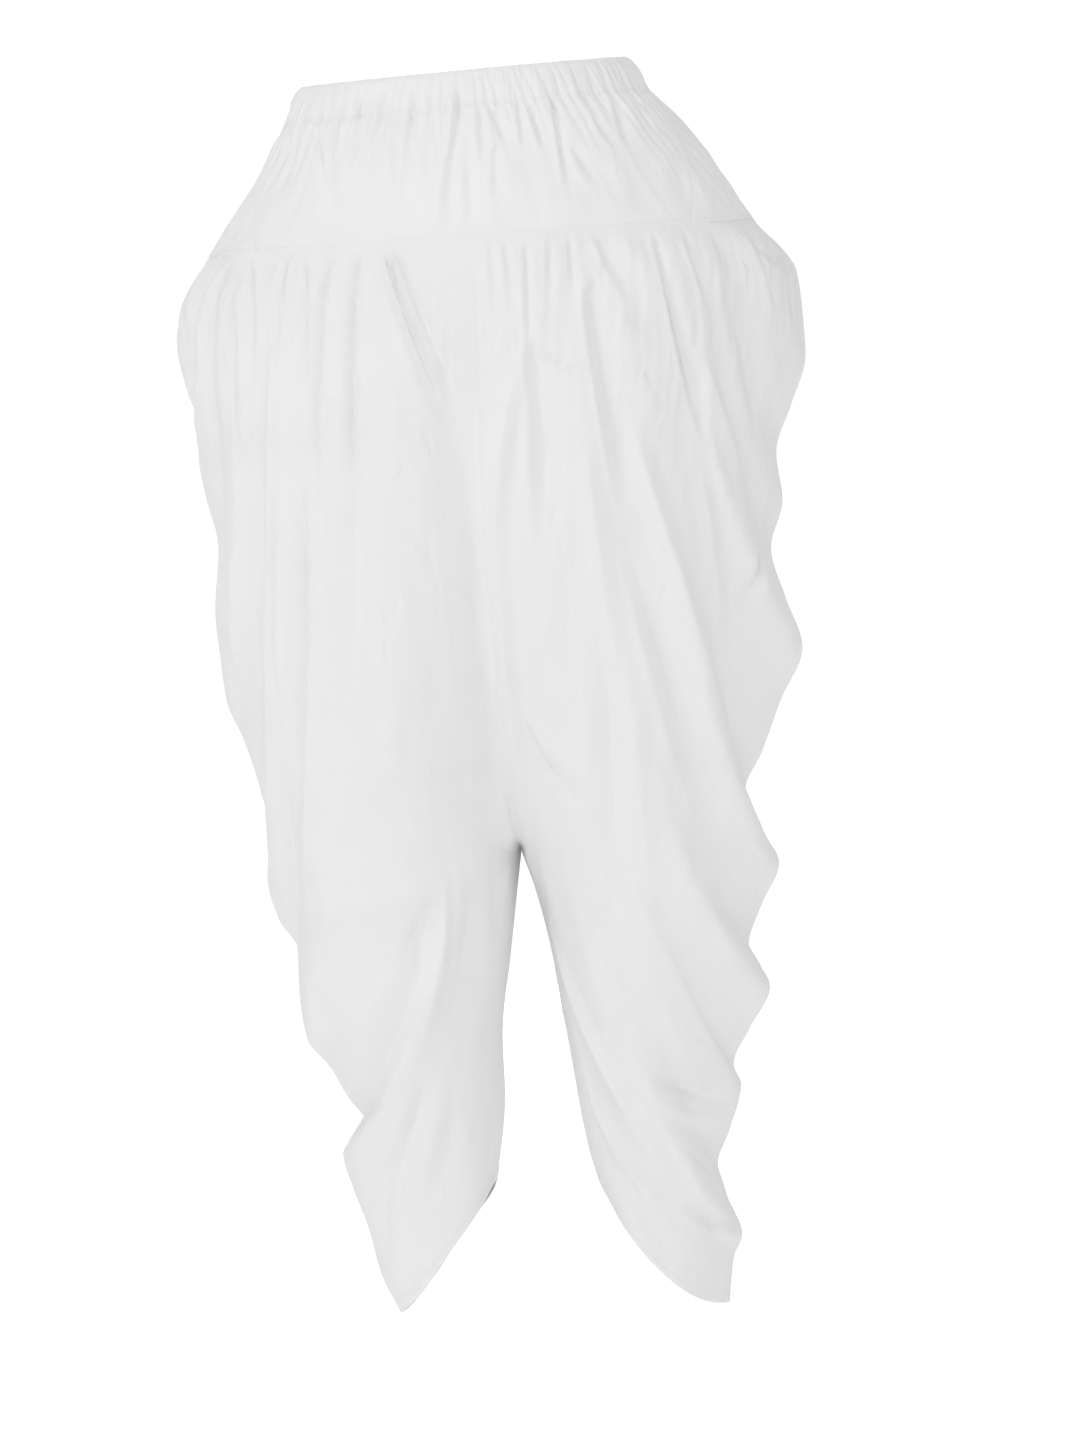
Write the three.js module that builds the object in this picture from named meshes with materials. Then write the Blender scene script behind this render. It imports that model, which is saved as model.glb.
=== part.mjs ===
// A dhoti-style salwar in the hollow form that it takes when worn: an elastic casing, a gathered yoke
// and two wide draped legs that are pleated into the yoke and hang in cowls at the sides.
// Millimetres, +Z up. The front faces -Y and the wearer's left is +X. The weight is on the left foot,
// so the waist and the yoke seam rise towards the right side.
// The origin is the middle of the waist opening, at half the height of the casing.

import * as THREE from 'three';

// Driving dimensions

const WALL = 2;
const SEAM_GAP = 0.3;
const CLOTH = { colour: 0xe9e9ea, roughness: 0.86, metalness: 0 };

// Rings of the casing and the yoke, from the top down. left and right are the sides, middle is the
// centre seam's line, z the height at x = 0, rise the slope of z along x, back and front the half-depths.
const RINGS = {
  casingTop: { left: 130, right: -131, middle: 0, z: 12, rise: -0.093, back: 98, front: 96 },
  casingSeam: { left: 143, right: -149, middle: -2, z: -17, rise: -0.1, back: 109, front: 104 },
  yokeMiddle: { left: 168, right: -193, middle: -6, z: -66, rise: -0.085, back: 133, front: 115 },
  yokeSeam: { left: 202, right: -230, middle: -11, z: -119, rise: -0.069, back: 152, front: 122 },
};

// Casing ruffles and yoke gathers: how many go all round, and how deep they are. The yoke's side seams
// slant: each has its turn from the centre back, in degrees, at its two ends, and bends most low down.
const CASING = { ruffles: 48, topDepth: 1.2, middleDepth: 1.9, seamDepth: 2.4, puff: 3.5 };
// Their gap is measured level, which is wider than it is across the slant.
const SIDE_SEAMS = {
  left: { atCasing: 76, atYokeSeam: 54 },
  right: { atCasing: -68, atYokeSeam: -50 },
  bend: 2,
  levelGap: 0.42,
};
const YOKE = {
  gathers: 38,
  gatherDepth: 4.2,
  fadeTo: 0.25,
  rowShares: [0, 0.22, 0.5, 0.78, 1],
};
const COLUMNS_PER_WAVE = 4;

// Two slow waves round the waist that spread the ruffles and gathers unevenly, in degrees.
const UNEVEN = [
  { shift: 3.2, times: 3, phase: 40 },
  { shift: 2, times: 7, phase: 100 },
];

// The seam between the legs, from the yoke to the low crotch. closing says how the two legs turn from
// one shared round at the yoke into two tubes at the crotch, and ring is the row of the outline there.
const CENTRE_SEAM = [
  { z: -118, x: -11 },
  { z: -339, x: -18 },
  { z: -426, x: -25 },
  { z: -533, x: -30 },
  { z: -606, x: -46 },
];
const CROTCH = { z: -606, ring: 15, closing: 1.35 };
// The web of cloth that bridges the cleft between the legs above the crotch. closing shapes how high
// the web rises, slope is how fast it rises away from the seam before it levels off, and blend rounds
// where it meets the leg. least is the smallest height, in mm, over which it levels off.
// Up the seam, as shares of its height, it is full past fullFrom and fades from fadeFrom over fadeOver.
// Across the leg, as shares of its width, it is full up to reach and fades over reachOver.
const WEB = {
  closing: 0.6, slope: 0.5, blend: 8, least: 1,
  fullFrom: 0.03, fadeFrom: 0.55, fadeOver: 0.4,
  reach: 0.3, reachOver: 0.17,
};

// Half-depths of a leg behind and in front of the side line, by height.
const LEG_DEPTH = [
  { z: -118, back: 152, front: 122 },
  { z: -200, back: 164, front: 131 },
  { z: -300, back: 165, front: 133 },
  { z: -420, back: 152, front: 127 },
  { z: -540, back: 129, front: 113 },
  { z: -660, back: 104, front: 96 },
  { z: -780, back: 80, front: 76 },
  { z: -880, back: 63, front: 61 },
  { z: -980, back: 57, front: 56 },
];

const LEG_COLUMNS = 50;

// Folds and cowls fade out over a share of the way round beside the seam, and over a height below the
// yoke. A cowl swings out fully at the side and little at the seam, and swell says how late it rises.
// A fold is full at its upper end and thins out towards its lower one.
const FOLD_FADE = { seam: 0.1, yoke: 34 };
const COWL = { atSeam: 0.15, atSide: 1, swell: 1.4 };
const FOLD_ENDS = { least: 0.35, rise: 0.1, fullness: 0.8 };
const LEAST_LENGTH = 1e-6;

// How often the places of folds and cowls are refined, and how far down a ring is from the next.
const ROUND_SEARCH = { passes: 12, ringSpacing: 40 };
const COWL_SEARCH = { passes: 18, clearance: 1 };

// Each leg: side is its outline seen from behind, a row for each ring of the solid. sideLine is the
// same line without its cowls. pleats says how far round from the centre seam (0) to the side (1) the
// pleat starts whose cowl ends at sideZ. folds are single creases (depth below 0) and ridges (above 0)
// on the back, from x1, z1 past x2, z2 to x3, z3, each with its half-width.
const LEG_LEFT = {
  outward: 1,
  side: [
    { x: 202, z: -133 },
    { x: 220, z: -168 },
    { x: 228, z: -200 },
    { x: 219, z: -243 },
    { x: 205, z: -277 },
    { x: 211, z: -290 },
    { x: 205, z: -325 },
    { x: 195, z: -366 },
    { x: 198, z: -414 },
    { x: 194, z: -454 },
    { x: 189, z: -488 },
    { x: 176, z: -517 },
    { x: 162, z: -558 },
    { x: 156, z: -588 },
    { x: 157, z: -629 },
    { x: 148, z: -662 },
    { x: 133, z: -686 },
    { x: 132, z: -720 },
    { x: 125, z: -759 },
    { x: 108, z: -779 },
    { x: 92, z: -805 },
    { x: 78, z: -826 },
    { x: 97, z: -849 },
    { x: 89, z: -878 },
    { x: 78, z: -906 },
    { x: 66, z: -948 },
    { x: 50, z: -978 },
  ],
  sideLine: [
    { x: 202, z: -133 },
    { x: 221, z: -180 },
    { x: 217, z: -240 },
    { x: 206, z: -300 },
    { x: 197, z: -400 },
    { x: 182, z: -500 },
    { x: 161, z: -600 },
    { x: 138, z: -700 },
    { x: 118, z: -760 },
    { x: 94, z: -820 },
    { x: 85, z: -880 },
    { x: 50, z: -978 },
  ],
  inseam: [
    { x: -46, z: -606 },
    { x: -38, z: -684 },
    { x: -31, z: -755 },
    { x: -33, z: -805 },
    { x: -27, z: -868 },
  ],
  hem: { seamZ: -868, curve: 0, frontDrop: 14 },
  pleats: [
    { sideZ: -133, start: 0.95 },
    { sideZ: -277, start: 0.78 },
    { sideZ: -366, start: 0.7 },
    { sideZ: -606, start: 0.6 },
    { sideZ: -765, start: 0.46 },
    { sideZ: -826, start: 0.08 },
    { sideZ: -990, start: 0 },
  ],
  folds: [
    { x1: 180, z1: -150, x2: 178, z2: -230, x3: 188, z3: -320, width: 12, depth: -5 },
    { x1: 150, z1: -138, x2: 174, z2: -330, x3: 155, z3: -630, width: 14, depth: -8 },
    { x1: 130, z1: -240, x2: 118, z2: -430, x3: 136, z3: -690, width: 12, depth: -8 },
    { x1: 103, z1: -136, x2: 114, z2: -230, x3: 114, z3: -340, width: 10, depth: -5 },
    { x1: 81, z1: -132, x2: 88, z2: -240, x3: 84, z3: -380, width: 11, depth: -7 },
    { x1: 59, z1: -128, x2: 32, z2: -210, x3: -2, z3: -296, width: 12, depth: -11 },
    { x1: 10, z1: -560, x2: 8, z2: -690, x3: 44, z3: -790, width: 14, depth: 8 },
    { x1: 30, z1: -768, x2: 40, z2: -840, x3: 62, z3: -888, width: 13, depth: -9 },
    { x1: 62, z1: -799, x2: 70, z2: -808, x3: 86, z3: -824, width: 10, depth: -7 },
    { x1: -22, z1: -390, x2: -20, z2: -560, x3: -30, z3: -690, width: 16, depth: -6 },
  ],
};

const LEG_RIGHT = {
  outward: -1,
  side: [
    { x: -230, z: -103 },
    { x: -265, z: -146 },
    { x: -270, z: -182 },
    { x: -272, z: -212 },
    { x: -261, z: -250 },
    { x: -249, z: -289 },
    { x: -254, z: -327 },
    { x: -245, z: -364 },
    { x: -257, z: -405 },
    { x: -270, z: -444 },
    { x: -253, z: -485 },
    { x: -237, z: -529 },
    { x: -225, z: -557 },
    { x: -241, z: -594 },
    { x: -252, z: -616 },
    { x: -238, z: -650 },
    { x: -228, z: -682 },
    { x: -245, z: -716 },
    { x: -229, z: -748 },
    { x: -216, z: -778 },
    { x: -222, z: -794 },
    { x: -213, z: -830 },
    { x: -203, z: -860 },
    { x: -212, z: -887 },
    { x: -223, z: -914 },
    { x: -212, z: -940 },
    { x: -206, z: -967 },
  ],
  sideLine: [
    { x: -230, z: -103 },
    { x: -259, z: -150 },
    { x: -264, z: -200 },
    { x: -257, z: -290 },
    { x: -254, z: -400 },
    { x: -250, z: -500 },
    { x: -240, z: -600 },
    { x: -233, z: -700 },
    { x: -219, z: -800 },
    { x: -212, z: -900 },
    { x: -206, z: -967 },
  ],
  inseam: [
    { x: -46, z: -606 },
    { x: -61, z: -647 },
    { x: -83, z: -757 },
    { x: -101, z: -850 },
    { x: -108, z: -871 },
  ],
  hem: { seamZ: -871, curve: 0.9, frontDrop: 10 },
  pleats: [
    { sideZ: -103, start: 0.9 },
    { sideZ: -289, start: 0.6 },
    { sideZ: -364, start: 0.52 },
    { sideZ: -557, start: 0.44 },
    { sideZ: -682, start: 0.31 },
    { sideZ: -778, start: 0.2 },
    { sideZ: -860, start: 0.1 },
    { sideZ: -930, start: 0 },
  ],
  folds: [
    { x1: -50, z1: -132, x2: -48, z2: -230, x3: -60, z3: -340, width: 12, depth: -8 },
    { x1: -100, z1: -160, x2: -112, z2: -240, x3: -135, z3: -344, width: 13, depth: -10 },
    { x1: -128, z1: -330, x2: -166, z2: -480, x3: -228, z3: -676, width: 15, depth: -9 },
    { x1: -152, z1: -126, x2: -178, z2: -240, x3: -216, z3: -440, width: 13, depth: -9 },
    { x1: -198, z1: -130, x2: -230, z2: -210, x3: -240, z3: -326, width: 17, depth: -8 },
    { x1: -40, z1: -215, x2: -14, z2: -360, x3: -62, z3: -500, width: 15, depth: 7 },
    { x1: -124, z1: -240, x2: -152, z2: -340, x3: -222, z3: -546, width: 14, depth: 7 },
    { x1: -42, z1: -520, x2: -66, z2: -560, x3: -108, z3: -562, width: 11, depth: -5 },
    { x1: -119, z1: -464, x2: -116, z2: -570, x3: -126, z3: -690, width: 15, depth: -6 },
    { x1: -78, z1: -700, x2: -112, z2: -840, x3: -214, z3: -912, width: 13, depth: -10 },
    { x1: -72, z1: -660, x2: -104, z2: -760, x3: -150, z3: -790, width: 13, depth: 6 },
    { x1: -90, z1: -752, x2: -110, z2: -826, x3: -172, z3: -884, width: 12, depth: 6 },
    { x1: -142, z1: -777, x2: -186, z2: -806, x3: -218, z3: -798, width: 11, depth: -8 },
    { x1: -174, z1: -890, x2: -196, z2: -903, x3: -216, z3: -909, width: 10, depth: -6 },
  ],
};

// The hidden front has the same kind of folds, moved a little so that the two faces differ.
const FRONT_FOLDS = { spacing: 2.4, across: 0.045, down: 22, depth: 0.8 };
const FOLD_STEPS = 14;

// Small helpers

const lerp = (from, to, share) => from + (to - from) * share;
const clamp = (value) => Math.min(1, Math.max(0, value));
const smooth = (value) => clamp(value) ** 2 * (3 - 2 * clamp(value));
const radians = (angle) => (angle * Math.PI) / 180;
const degrees = (angle) => (angle * 180) / Math.PI;

// Reads a column of a table that runs downwards in z, in a straight line between its rows.
function atHeight(table, z, column) {
  const key = 'sideZ' in table[0] ? 'sideZ' : 'z';
  const below = table.findIndex((row) => row[key] <= z);
  if (below === 0) return table[0][column];
  if (below < 0) return table[table.length - 1][column];
  const [upper, lower] = [table[below - 1], table[below]];
  return lerp(upper[column], lower[column], (upper[key] - z) / (upper[key] - lower[key]));
}

// Makes one closed wall from a grid of outer points. Rows run down and columns run so that the outside
// is on the outer side of both. normals gives the way out at each point, and loop joins the last
// column to the first. centres, where given, holds the cloth's true middle in each square of the
// grid, and the square is then split along the diagonal that passes nearer to it.
function wallGeometry(grid, normals, loop, centres) {
  const rows = grid.length;
  const columns = grid[0].length;
  const positions = [];
  for (const inward of [0, WALL]) {
    grid.forEach((row, j) => row.forEach((point, i) => {
      const placed = point.clone().addScaledVector(normals[j][i], -inward);
      positions.push(placed.x, placed.y, placed.z);
    }));
  }
  const outer = (j, i) => j * columns + (i % columns);
  const inner = (j, i) => rows * columns + outer(j, i);
  const faces = [];
  const quad = (a, b, c, d, other) => {
    if (other) faces.push(a, b, d, b, c, d);
    else faces.push(a, b, c, a, c, d);
  };
  const middle = (from, to) => from.clone().lerp(to, 0.5);
  const splitsOtherWay = (j, i) => {
    if (!centres) return false;
    const usual = middle(grid[j][i], grid[j + 1][i + 1]).distanceTo(centres[j][i]);
    return middle(grid[j][i + 1], grid[j + 1][i]).distanceTo(centres[j][i]) < usual;
  };
  const lastColumn = loop ? columns : columns - 1;
  for (let i = 0; i < lastColumn; i += 1) {
    for (let j = 0; j < rows - 1; j += 1) {
      const other = splitsOtherWay(j, i);
      quad(outer(j, i), outer(j, i + 1), outer(j + 1, i + 1), outer(j + 1, i), other);
      quad(inner(j, i), inner(j + 1, i), inner(j + 1, i + 1), inner(j, i + 1), other);
    }
    quad(outer(0, i + 1), outer(0, i), inner(0, i), inner(0, i + 1));
    quad(outer(rows - 1, i), outer(rows - 1, i + 1), inner(rows - 1, i + 1), inner(rows - 1, i));
  }
  if (!loop) {
    const end = columns - 1;
    for (let j = 0; j < rows - 1; j += 1) {
      quad(outer(j, 0), outer(j + 1, 0), inner(j + 1, 0), inner(j, 0));
      quad(outer(j + 1, end), outer(j, end), inner(j, end), inner(j + 1, end));
    }
  }
  const geometry = new THREE.BufferGeometry();
  geometry.setAttribute('position', new THREE.Float32BufferAttribute(positions, 3));
  geometry.setIndex(faces);
  geometry.computeVertexNormals();
  return geometry;
}

// The way out at each point of a grid, from its neighbours. level lists the rows whose wall is cut
// level with a seam, so that the two pieces keep an even gap there.
function gridNormals(grid, loop, level) {
  const columns = grid[0].length;
  return grid.map((row, j) => row.map((point, i) => {
    const before = loop ? (i + columns - 1) % columns : Math.max(0, i - 1);
    const after = loop ? (i + 1) % columns : Math.min(columns - 1, i + 1);
    const across = grid[j][after].clone().sub(grid[j][before]);
    const down = grid[Math.min(grid.length - 1, j + 1)][i].clone().sub(grid[Math.max(0, j - 1)][i]);
    const normal = across.cross(down);
    if (level.includes(j)) normal.z = 0;
    return normal.normalize();
  }));
}

// Casing and yoke

// A place on a ring and the level way out there. turn is the angle from the centre back towards the
// left side, in degrees.
function ringPlace(ring, turn) {
  const sideways = Math.sin(radians(turn));
  const backwards = Math.cos(radians(turn));
  const halfWidth = sideways > 0 ? ring.left - ring.middle : ring.middle - ring.right;
  const halfDepth = backwards > 0 ? ring.back : ring.front;
  return {
    x: ring.middle + halfWidth * sideways,
    y: halfDepth * backwards,
    out: new THREE.Vector3(sideways / halfWidth, backwards / halfDepth, 0).normalize(),
  };
}

// A point on a ring, where a gather stands proud by so much.
function ringPoint(ring, turn, proud) {
  const { x, y, out } = ringPlace(ring, turn);
  return new THREE.Vector3(x + out.x * proud, y + out.y * proud, ring.z + ring.rise * x);
}

// The ring that lies a share of the way from one ring to the next.
function ringBetween(upper, lower, share) {
  const ring = {};
  for (const key of Object.keys(upper)) ring[key] = lerp(upper[key], lower[key], share);
  return ring;
}

// Spreads even steps unevenly, so that no two gathers are the same width.
function unevenTurn(turn) {
  const shifts = UNEVEN.map(({ shift, times, phase }) => shift * Math.sin(radians(times * turn + phase)));
  return turn + shifts[0] + shifts[1];
}

function casing() {
  const columns = CASING.ruffles * COLUMNS_PER_WAVE;
  const { casingTop, casingSeam } = RINGS;
  const rows = [
    { ring: casingTop, depth: CASING.topDepth, puff: 0 },
    { ring: ringBetween(casingTop, casingSeam, 0.5), depth: CASING.middleDepth, puff: CASING.puff },
    { ring: { ...casingSeam, z: casingSeam.z + SEAM_GAP / 2 }, depth: CASING.seamDepth, puff: 0 },
  ];
  const grid = rows.map(({ ring, depth, puff }) => Array.from({ length: columns }, (_, i) => {
    const turn = (360 * i) / columns;
    const wave = Math.cos((2 * Math.PI * i) / COLUMNS_PER_WAVE);
    return ringPoint(ring, unevenTurn(turn), puff + depth * wave);
  }));
  return wallGeometry(grid, gridNormals(grid, true, [0, rows.length - 1]), true);
}

// The ring of the yoke at a share of its height, level with its seams at the top and the bottom.
function yokeRing(share) {
  const { casingSeam, yokeMiddle, yokeSeam } = RINGS;
  const ring = share < 0.5
    ? ringBetween(casingSeam, yokeMiddle, share * 2)
    : ringBetween(yokeMiddle, yokeSeam, share * 2 - 1);
  ring.z += SEAM_GAP * (share - 0.5);
  return ring;
}

// The turn of a side seam at a share of the yoke's height.
function seamTurn({ atCasing, atYokeSeam }, share) {
  return lerp(atCasing, atYokeSeam, share ** SIDE_SEAMS.bend);
}

// A panel of the yoke from one side seam round to the other. Its gathers are deepest under the casing.
function yokePanel(start, end) {
  const waves = Math.round((YOKE.gathers * (end.atCasing - start.atCasing)) / 360);
  const columns = waves * COLUMNS_PER_WAVE;
  const halfGap = degrees(SIDE_SEAMS.levelGap / 2 / RINGS.casingSeam.front);
  const grid = YOKE.rowShares.map((share) => Array.from({ length: columns + 1 }, (_, i) => {
    const turn = lerp(seamTurn(start, share) + halfGap, seamTurn(end, share) - halfGap, i / columns);
    const isEdge = i === 0 || i === columns || share === 1;
    const wave = isEdge ? 0 : Math.cos(radians(YOKE.gathers * unevenTurn(turn)));
    return ringPoint(yokeRing(share), turn, YOKE.gatherDepth * lerp(1, YOKE.fadeTo, share) * wave);
  }));
  const normals = gridNormals(grid, false, [0, grid.length - 1]);
  YOKE.rowShares.forEach((share, j) => {
    const ring = yokeRing(share);
    normals[j][0] = ringPlace(ring, seamTurn(start, share)).out;
    normals[j][columns] = ringPlace(ring, seamTurn(end, share)).out;
  });
  return wallGeometry(grid, normals, false);
}

// The same seam, reached after a full turn.
function fullTurnOn({ atCasing, atYokeSeam }) {
  return { atCasing: atCasing + 360, atYokeSeam: atYokeSeam + 360 };
}

// Legs

// The measures of a leg's ring: where it meets the seam between the legs, or the inseam, and where it
// reaches the side. The ring is an ellipse that the seam cuts off at the angle cut.
function legRing(leg, row) {
  const upper = Math.min(leg.side.length - 2, Math.floor(row));
  const share = row - upper;
  const sideZ = lerp(leg.side[upper].z, leg.side[upper + 1].z, share);
  const seamTop = CENTRE_SEAM[0].z;
  const seamZ = row <= CROTCH.ring
    ? lerp(seamTop, CROTCH.z, row / CROTCH.ring)
    : lerp(CROTCH.z, leg.hem.seamZ, (row - CROTCH.ring) / (leg.side.length - 1 - CROTCH.ring));
  const seamX = atHeight(row <= CROTCH.ring ? CENTRE_SEAM : leg.inseam, seamZ, 'x');
  const depth = atHeight(LEG_DEPTH, (sideZ + seamZ) / 2, 'back');
  const open = clamp((seamZ - CROTCH.z) / (seamTop - CROTCH.z));
  const cut = Math.max(Math.acos(1 - open ** CROTCH.closing), Math.asin(SEAM_GAP / 2 / depth));
  const web = {
    height: Math.sin(Math.acos(1 - open ** WEB.closing)),
    slope: WEB.slope * (1 - open),
    full: smooth(open / WEB.fullFrom) * (1 - smooth((open - WEB.fadeFrom) / WEB.fadeOver)),
  };
  const width = Math.abs(atHeight(leg.sideLine, sideZ, 'x') - seamX);
  const half = width / (1 + Math.cos(cut));
  const girth = (Math.PI - cut) * Math.hypot(half, depth) / Math.SQRT2;
  return { sideZ, seamZ, seamX, cut, width, half, girth, web };
}

// How far out the cloth lies, at a distance across from the seam, where the web bridges the cleft.
function webbed(ring, depth, out, across) {
  const low = Math.max(depth * (1 - ring.web.height), WEB.least);
  const bridge = depth - low * Math.exp((-ring.web.slope * across) / low);
  const met = (out + bridge + Math.hypot(out - bridge, WEB.blend)) / 2;
  const nearSeam = 1 - smooth((across / ring.width - WEB.reach) / WEB.reachOver);
  return lerp(out, met, ring.web.full * nearSeam);
}

// The way out of the cloth at the seam's edge, level, on the back (face 1) or the front (face -1).
function edgeNormal(leg, ring, depth, face) {
  const out = depth * Math.sin(ring.cut);
  const rise = (depth * Math.cos(ring.cut)) / (ring.half * Math.sin(ring.cut));
  const bridge = ring.web.height * depth;
  const share = (1 + (bridge - out) / Math.hypot(bridge - out, WEB.blend)) / 2;
  const slope = lerp(rise, lerp(rise, ring.web.slope, share), ring.web.full);
  return new THREE.Vector3(-leg.outward * slope, face, 0).normalize();
}

// How far round from the seam (0) to the side (1) the place lies that shows at x, z from behind.
function roundAt(leg, x, z) {
  let row = leg.side.findIndex((place) => place.z <= z);
  let ring = legRing(leg, Math.max(0, row));
  let reach = 0;
  for (let pass = 0; pass < ROUND_SEARCH.passes; pass += 1) {
    reach = clamp((leg.outward * (x - ring.seamX)) / ring.width);
    const miss = lerp(ring.seamZ, ring.sideZ, reach) - z;
    row = Math.min(leg.side.length - 1, Math.max(0, row + miss / ROUND_SEARCH.ringSpacing));
    ring = legRing(leg, row);
  }
  const turned = Math.acos(Math.max(-1, Math.cos(ring.cut) - (reach * ring.width) / ring.half));
  return (turned - ring.cut) / (Math.PI - ring.cut);
}

// The line of a fold on the leg, as places round and down it, for the back or the moved copy in front.
function foldLine(leg, fold, number, front) {
  const moved = front ? Math.sin(number * FRONT_FOLDS.spacing) : 0;
  const points = [];
  for (let step = 0; step <= FOLD_STEPS; step += 1) {
    const t = step / FOLD_STEPS;
    const x = (1 - t) ** 2 * fold.x1 + 2 * t * (1 - t) * fold.x2 + t ** 2 * fold.x3;
    const z = (1 - t) ** 2 * fold.z1 + 2 * t * (1 - t) * fold.z2 + t ** 2 * fold.z3;
    points.push({
      round: roundAt(leg, x, z) + moved * FRONT_FOLDS.across,
      z: z - moved * FRONT_FOLDS.down * Math.min(1, t * 2),
    });
  }
  return { points, width: fold.width, depth: fold.depth * (front ? FRONT_FOLDS.depth : 1) };
}

// How far a fold moves the cloth out at a place. It is full along the line and softer at its ends.
function foldOut(line, round, z, girth) {
  let nearest = Infinity;
  let along = 0;
  for (let step = 1; step < line.points.length; step += 1) {
    const start = line.points[step - 1];
    const end = line.points[step];
    const run = { across: (end.round - start.round) * girth, down: end.z - start.z };
    const away = { across: (round - start.round) * girth, down: z - start.z };
    const length = run.across ** 2 + run.down ** 2 + LEAST_LENGTH;
    const share = clamp((away.across * run.across + away.down * run.down) / length);
    const distance = Math.hypot(away.across - share * run.across, away.down - share * run.down);
    if (distance < nearest) {
      nearest = distance;
      along = (step - 1 + share) / (line.points.length - 1);
    }
  }
  const { least, rise, fullness } = FOLD_ENDS;
  const full = Math.sin(Math.PI * Math.min(0.5 + along * rise, 1 - along) ** fullness);
  return line.depth * lerp(least, 1, full) * Math.exp(-((nearest / line.width) ** 2));
}

// The height at which the cowl that passes through a place reaches the side.
function cowlHeight(leg, round, z) {
  const top = leg.side[0].z;
  let high = Math.min(z, top - COWL_SEARCH.clearance);
  let low = leg.pleats[leg.pleats.length - 1].sideZ;
  for (let pass = 0; pass < COWL_SEARCH.passes; pass += 1) {
    const middle = (high + low) / 2;
    const across = (1 - round) / (1 - atHeight(leg.pleats, middle, 'start'));
    const down = (top - z) / (top - middle);
    if (across ** 2 + down ** 2 > 1) high = middle;
    else low = middle;
  }
  return (high + low) / 2;
}

// The half-depth of a leg at a height. Its first row keeps to the yoke seam.
function depthAt(row, z, face) {
  return row === 0 ? RINGS.yokeSeam[face] : atHeight(LEG_DEPTH, z, face);
}

// One point of a leg's outer face. share goes round the ring from the back seam to the front seam.
function legPoint(leg, row, share, lines) {
  const ring = legRing(leg, row);
  const angle = lerp(ring.cut, 2 * Math.PI - ring.cut, share);
  const round = 1 - Math.abs(1 - 2 * share);
  const reach = (ring.half * (Math.cos(ring.cut) - Math.cos(angle))) / ring.width;
  const lastRow = leg.side.length - 1;
  const hemShare = smooth((row - CROTCH.ring) / (lastRow - CROTCH.ring));
  const dropped = lerp(reach, Math.sin((reach * Math.PI) / 2), leg.hem.curve * hemShare);
  const isFront = share > 0.5;
  let z = lerp(ring.seamZ, ring.sideZ, dropped);
  if (isFront) z -= leg.hem.frontDrop * hemShare * Math.sin(Math.PI * round);
  const depth = depthAt(row, z, isFront ? 'front' : 'back');
  const out = new THREE.Vector2(-Math.cos(angle) / ring.half, Math.sin(angle) / depth).normalize();
  const across = reach * ring.width;
  const point = new THREE.Vector3(
    ring.seamX + leg.outward * (across + SEAM_GAP / 2),
    (isFront ? -1 : 1) * webbed(ring, depth, depth * Math.abs(Math.sin(angle)), across),
    z,
  );
  if (row === 0) {
    point.z = RINGS.yokeSeam.z + RINGS.yokeSeam.rise * point.x - SEAM_GAP / 2;
    return point;
  }
  const sideZ = cowlHeight(leg, round, z);
  const cowl = leg.outward * (atHeight(leg.side, sideZ, 'x') - atHeight(leg.sideLine, sideZ, 'x'));
  const swing = lerp(COWL.atSeam, COWL.atSide, smooth(round) ** COWL.swell);
  let proud = cowl * swing;
  for (const line of isFront ? lines.front : lines.back) proud += foldOut(line, round, z, ring.girth);
  proud *= smooth(round / FOLD_FADE.seam);
  proud *= smooth((leg.side[0].z - ring.sideZ) / FOLD_FADE.yoke);
  point.x += leg.outward * out.x * proud;
  point.y += out.y * proud;
  return point;
}

function legPiece(leg) {
  const lines = {
    back: leg.folds.map((fold, number) => foldLine(leg, fold, number, false)),
    front: leg.folds.map((fold, number) => foldLine(leg, fold, number, true)),
  };
  const shares = Array.from({ length: LEG_COLUMNS + 1 }, (_, i) => i / LEG_COLUMNS);
  if (leg.outward < 0) shares.reverse();
  const grid = leg.side.map((_, row) => shares.map((share) => legPoint(leg, row, share, lines)));
  const normals = gridNormals(grid, false, [0]);
  normals.forEach((rowNormals, row) => {
    const ring = legRing(leg, row);
    const backEdge = edgeNormal(leg, ring, depthAt(row, ring.seamZ, 'back'), 1);
    const frontEdge = edgeNormal(leg, ring, depthAt(row, ring.seamZ, 'front'), -1);
    const edges = leg.outward > 0 ? [backEdge, frontEdge] : [frontEdge, backEdge];
    [rowNormals[0]] = edges;
    [, rowNormals[LEG_COLUMNS]] = edges;
  });
  const between = (i) => (shares[i] + shares[i + 1]) / 2;
  const centres = leg.side.slice(1).map((_, row) => (
    Array.from({ length: LEG_COLUMNS }, (__, i) => legPoint(leg, row + 0.5, between(i), lines))
  ));
  return wallGeometry(grid, normals, false, centres);
}

// The garment

const cloth = () => new THREE.MeshStandardMaterial({
  color: CLOTH.colour,
  roughness: CLOTH.roughness,
  metalness: CLOTH.metalness,
});

function piece(name, geometry) {
  const mesh = new THREE.Mesh(geometry, cloth());
  mesh.name = name;
  return mesh;
}

const salwar = new THREE.Group();
salwar.add(
  piece('waistband', casing()),
  piece('yoke_back', yokePanel(SIDE_SEAMS.right, SIDE_SEAMS.left)),
  piece('yoke_front', yokePanel(SIDE_SEAMS.left, fullTurnOn(SIDE_SEAMS.right))),
  piece('leg_left', legPiece(LEG_LEFT)),
  piece('leg_right', legPiece(LEG_RIGHT)),
);

export default salwar;
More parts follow.
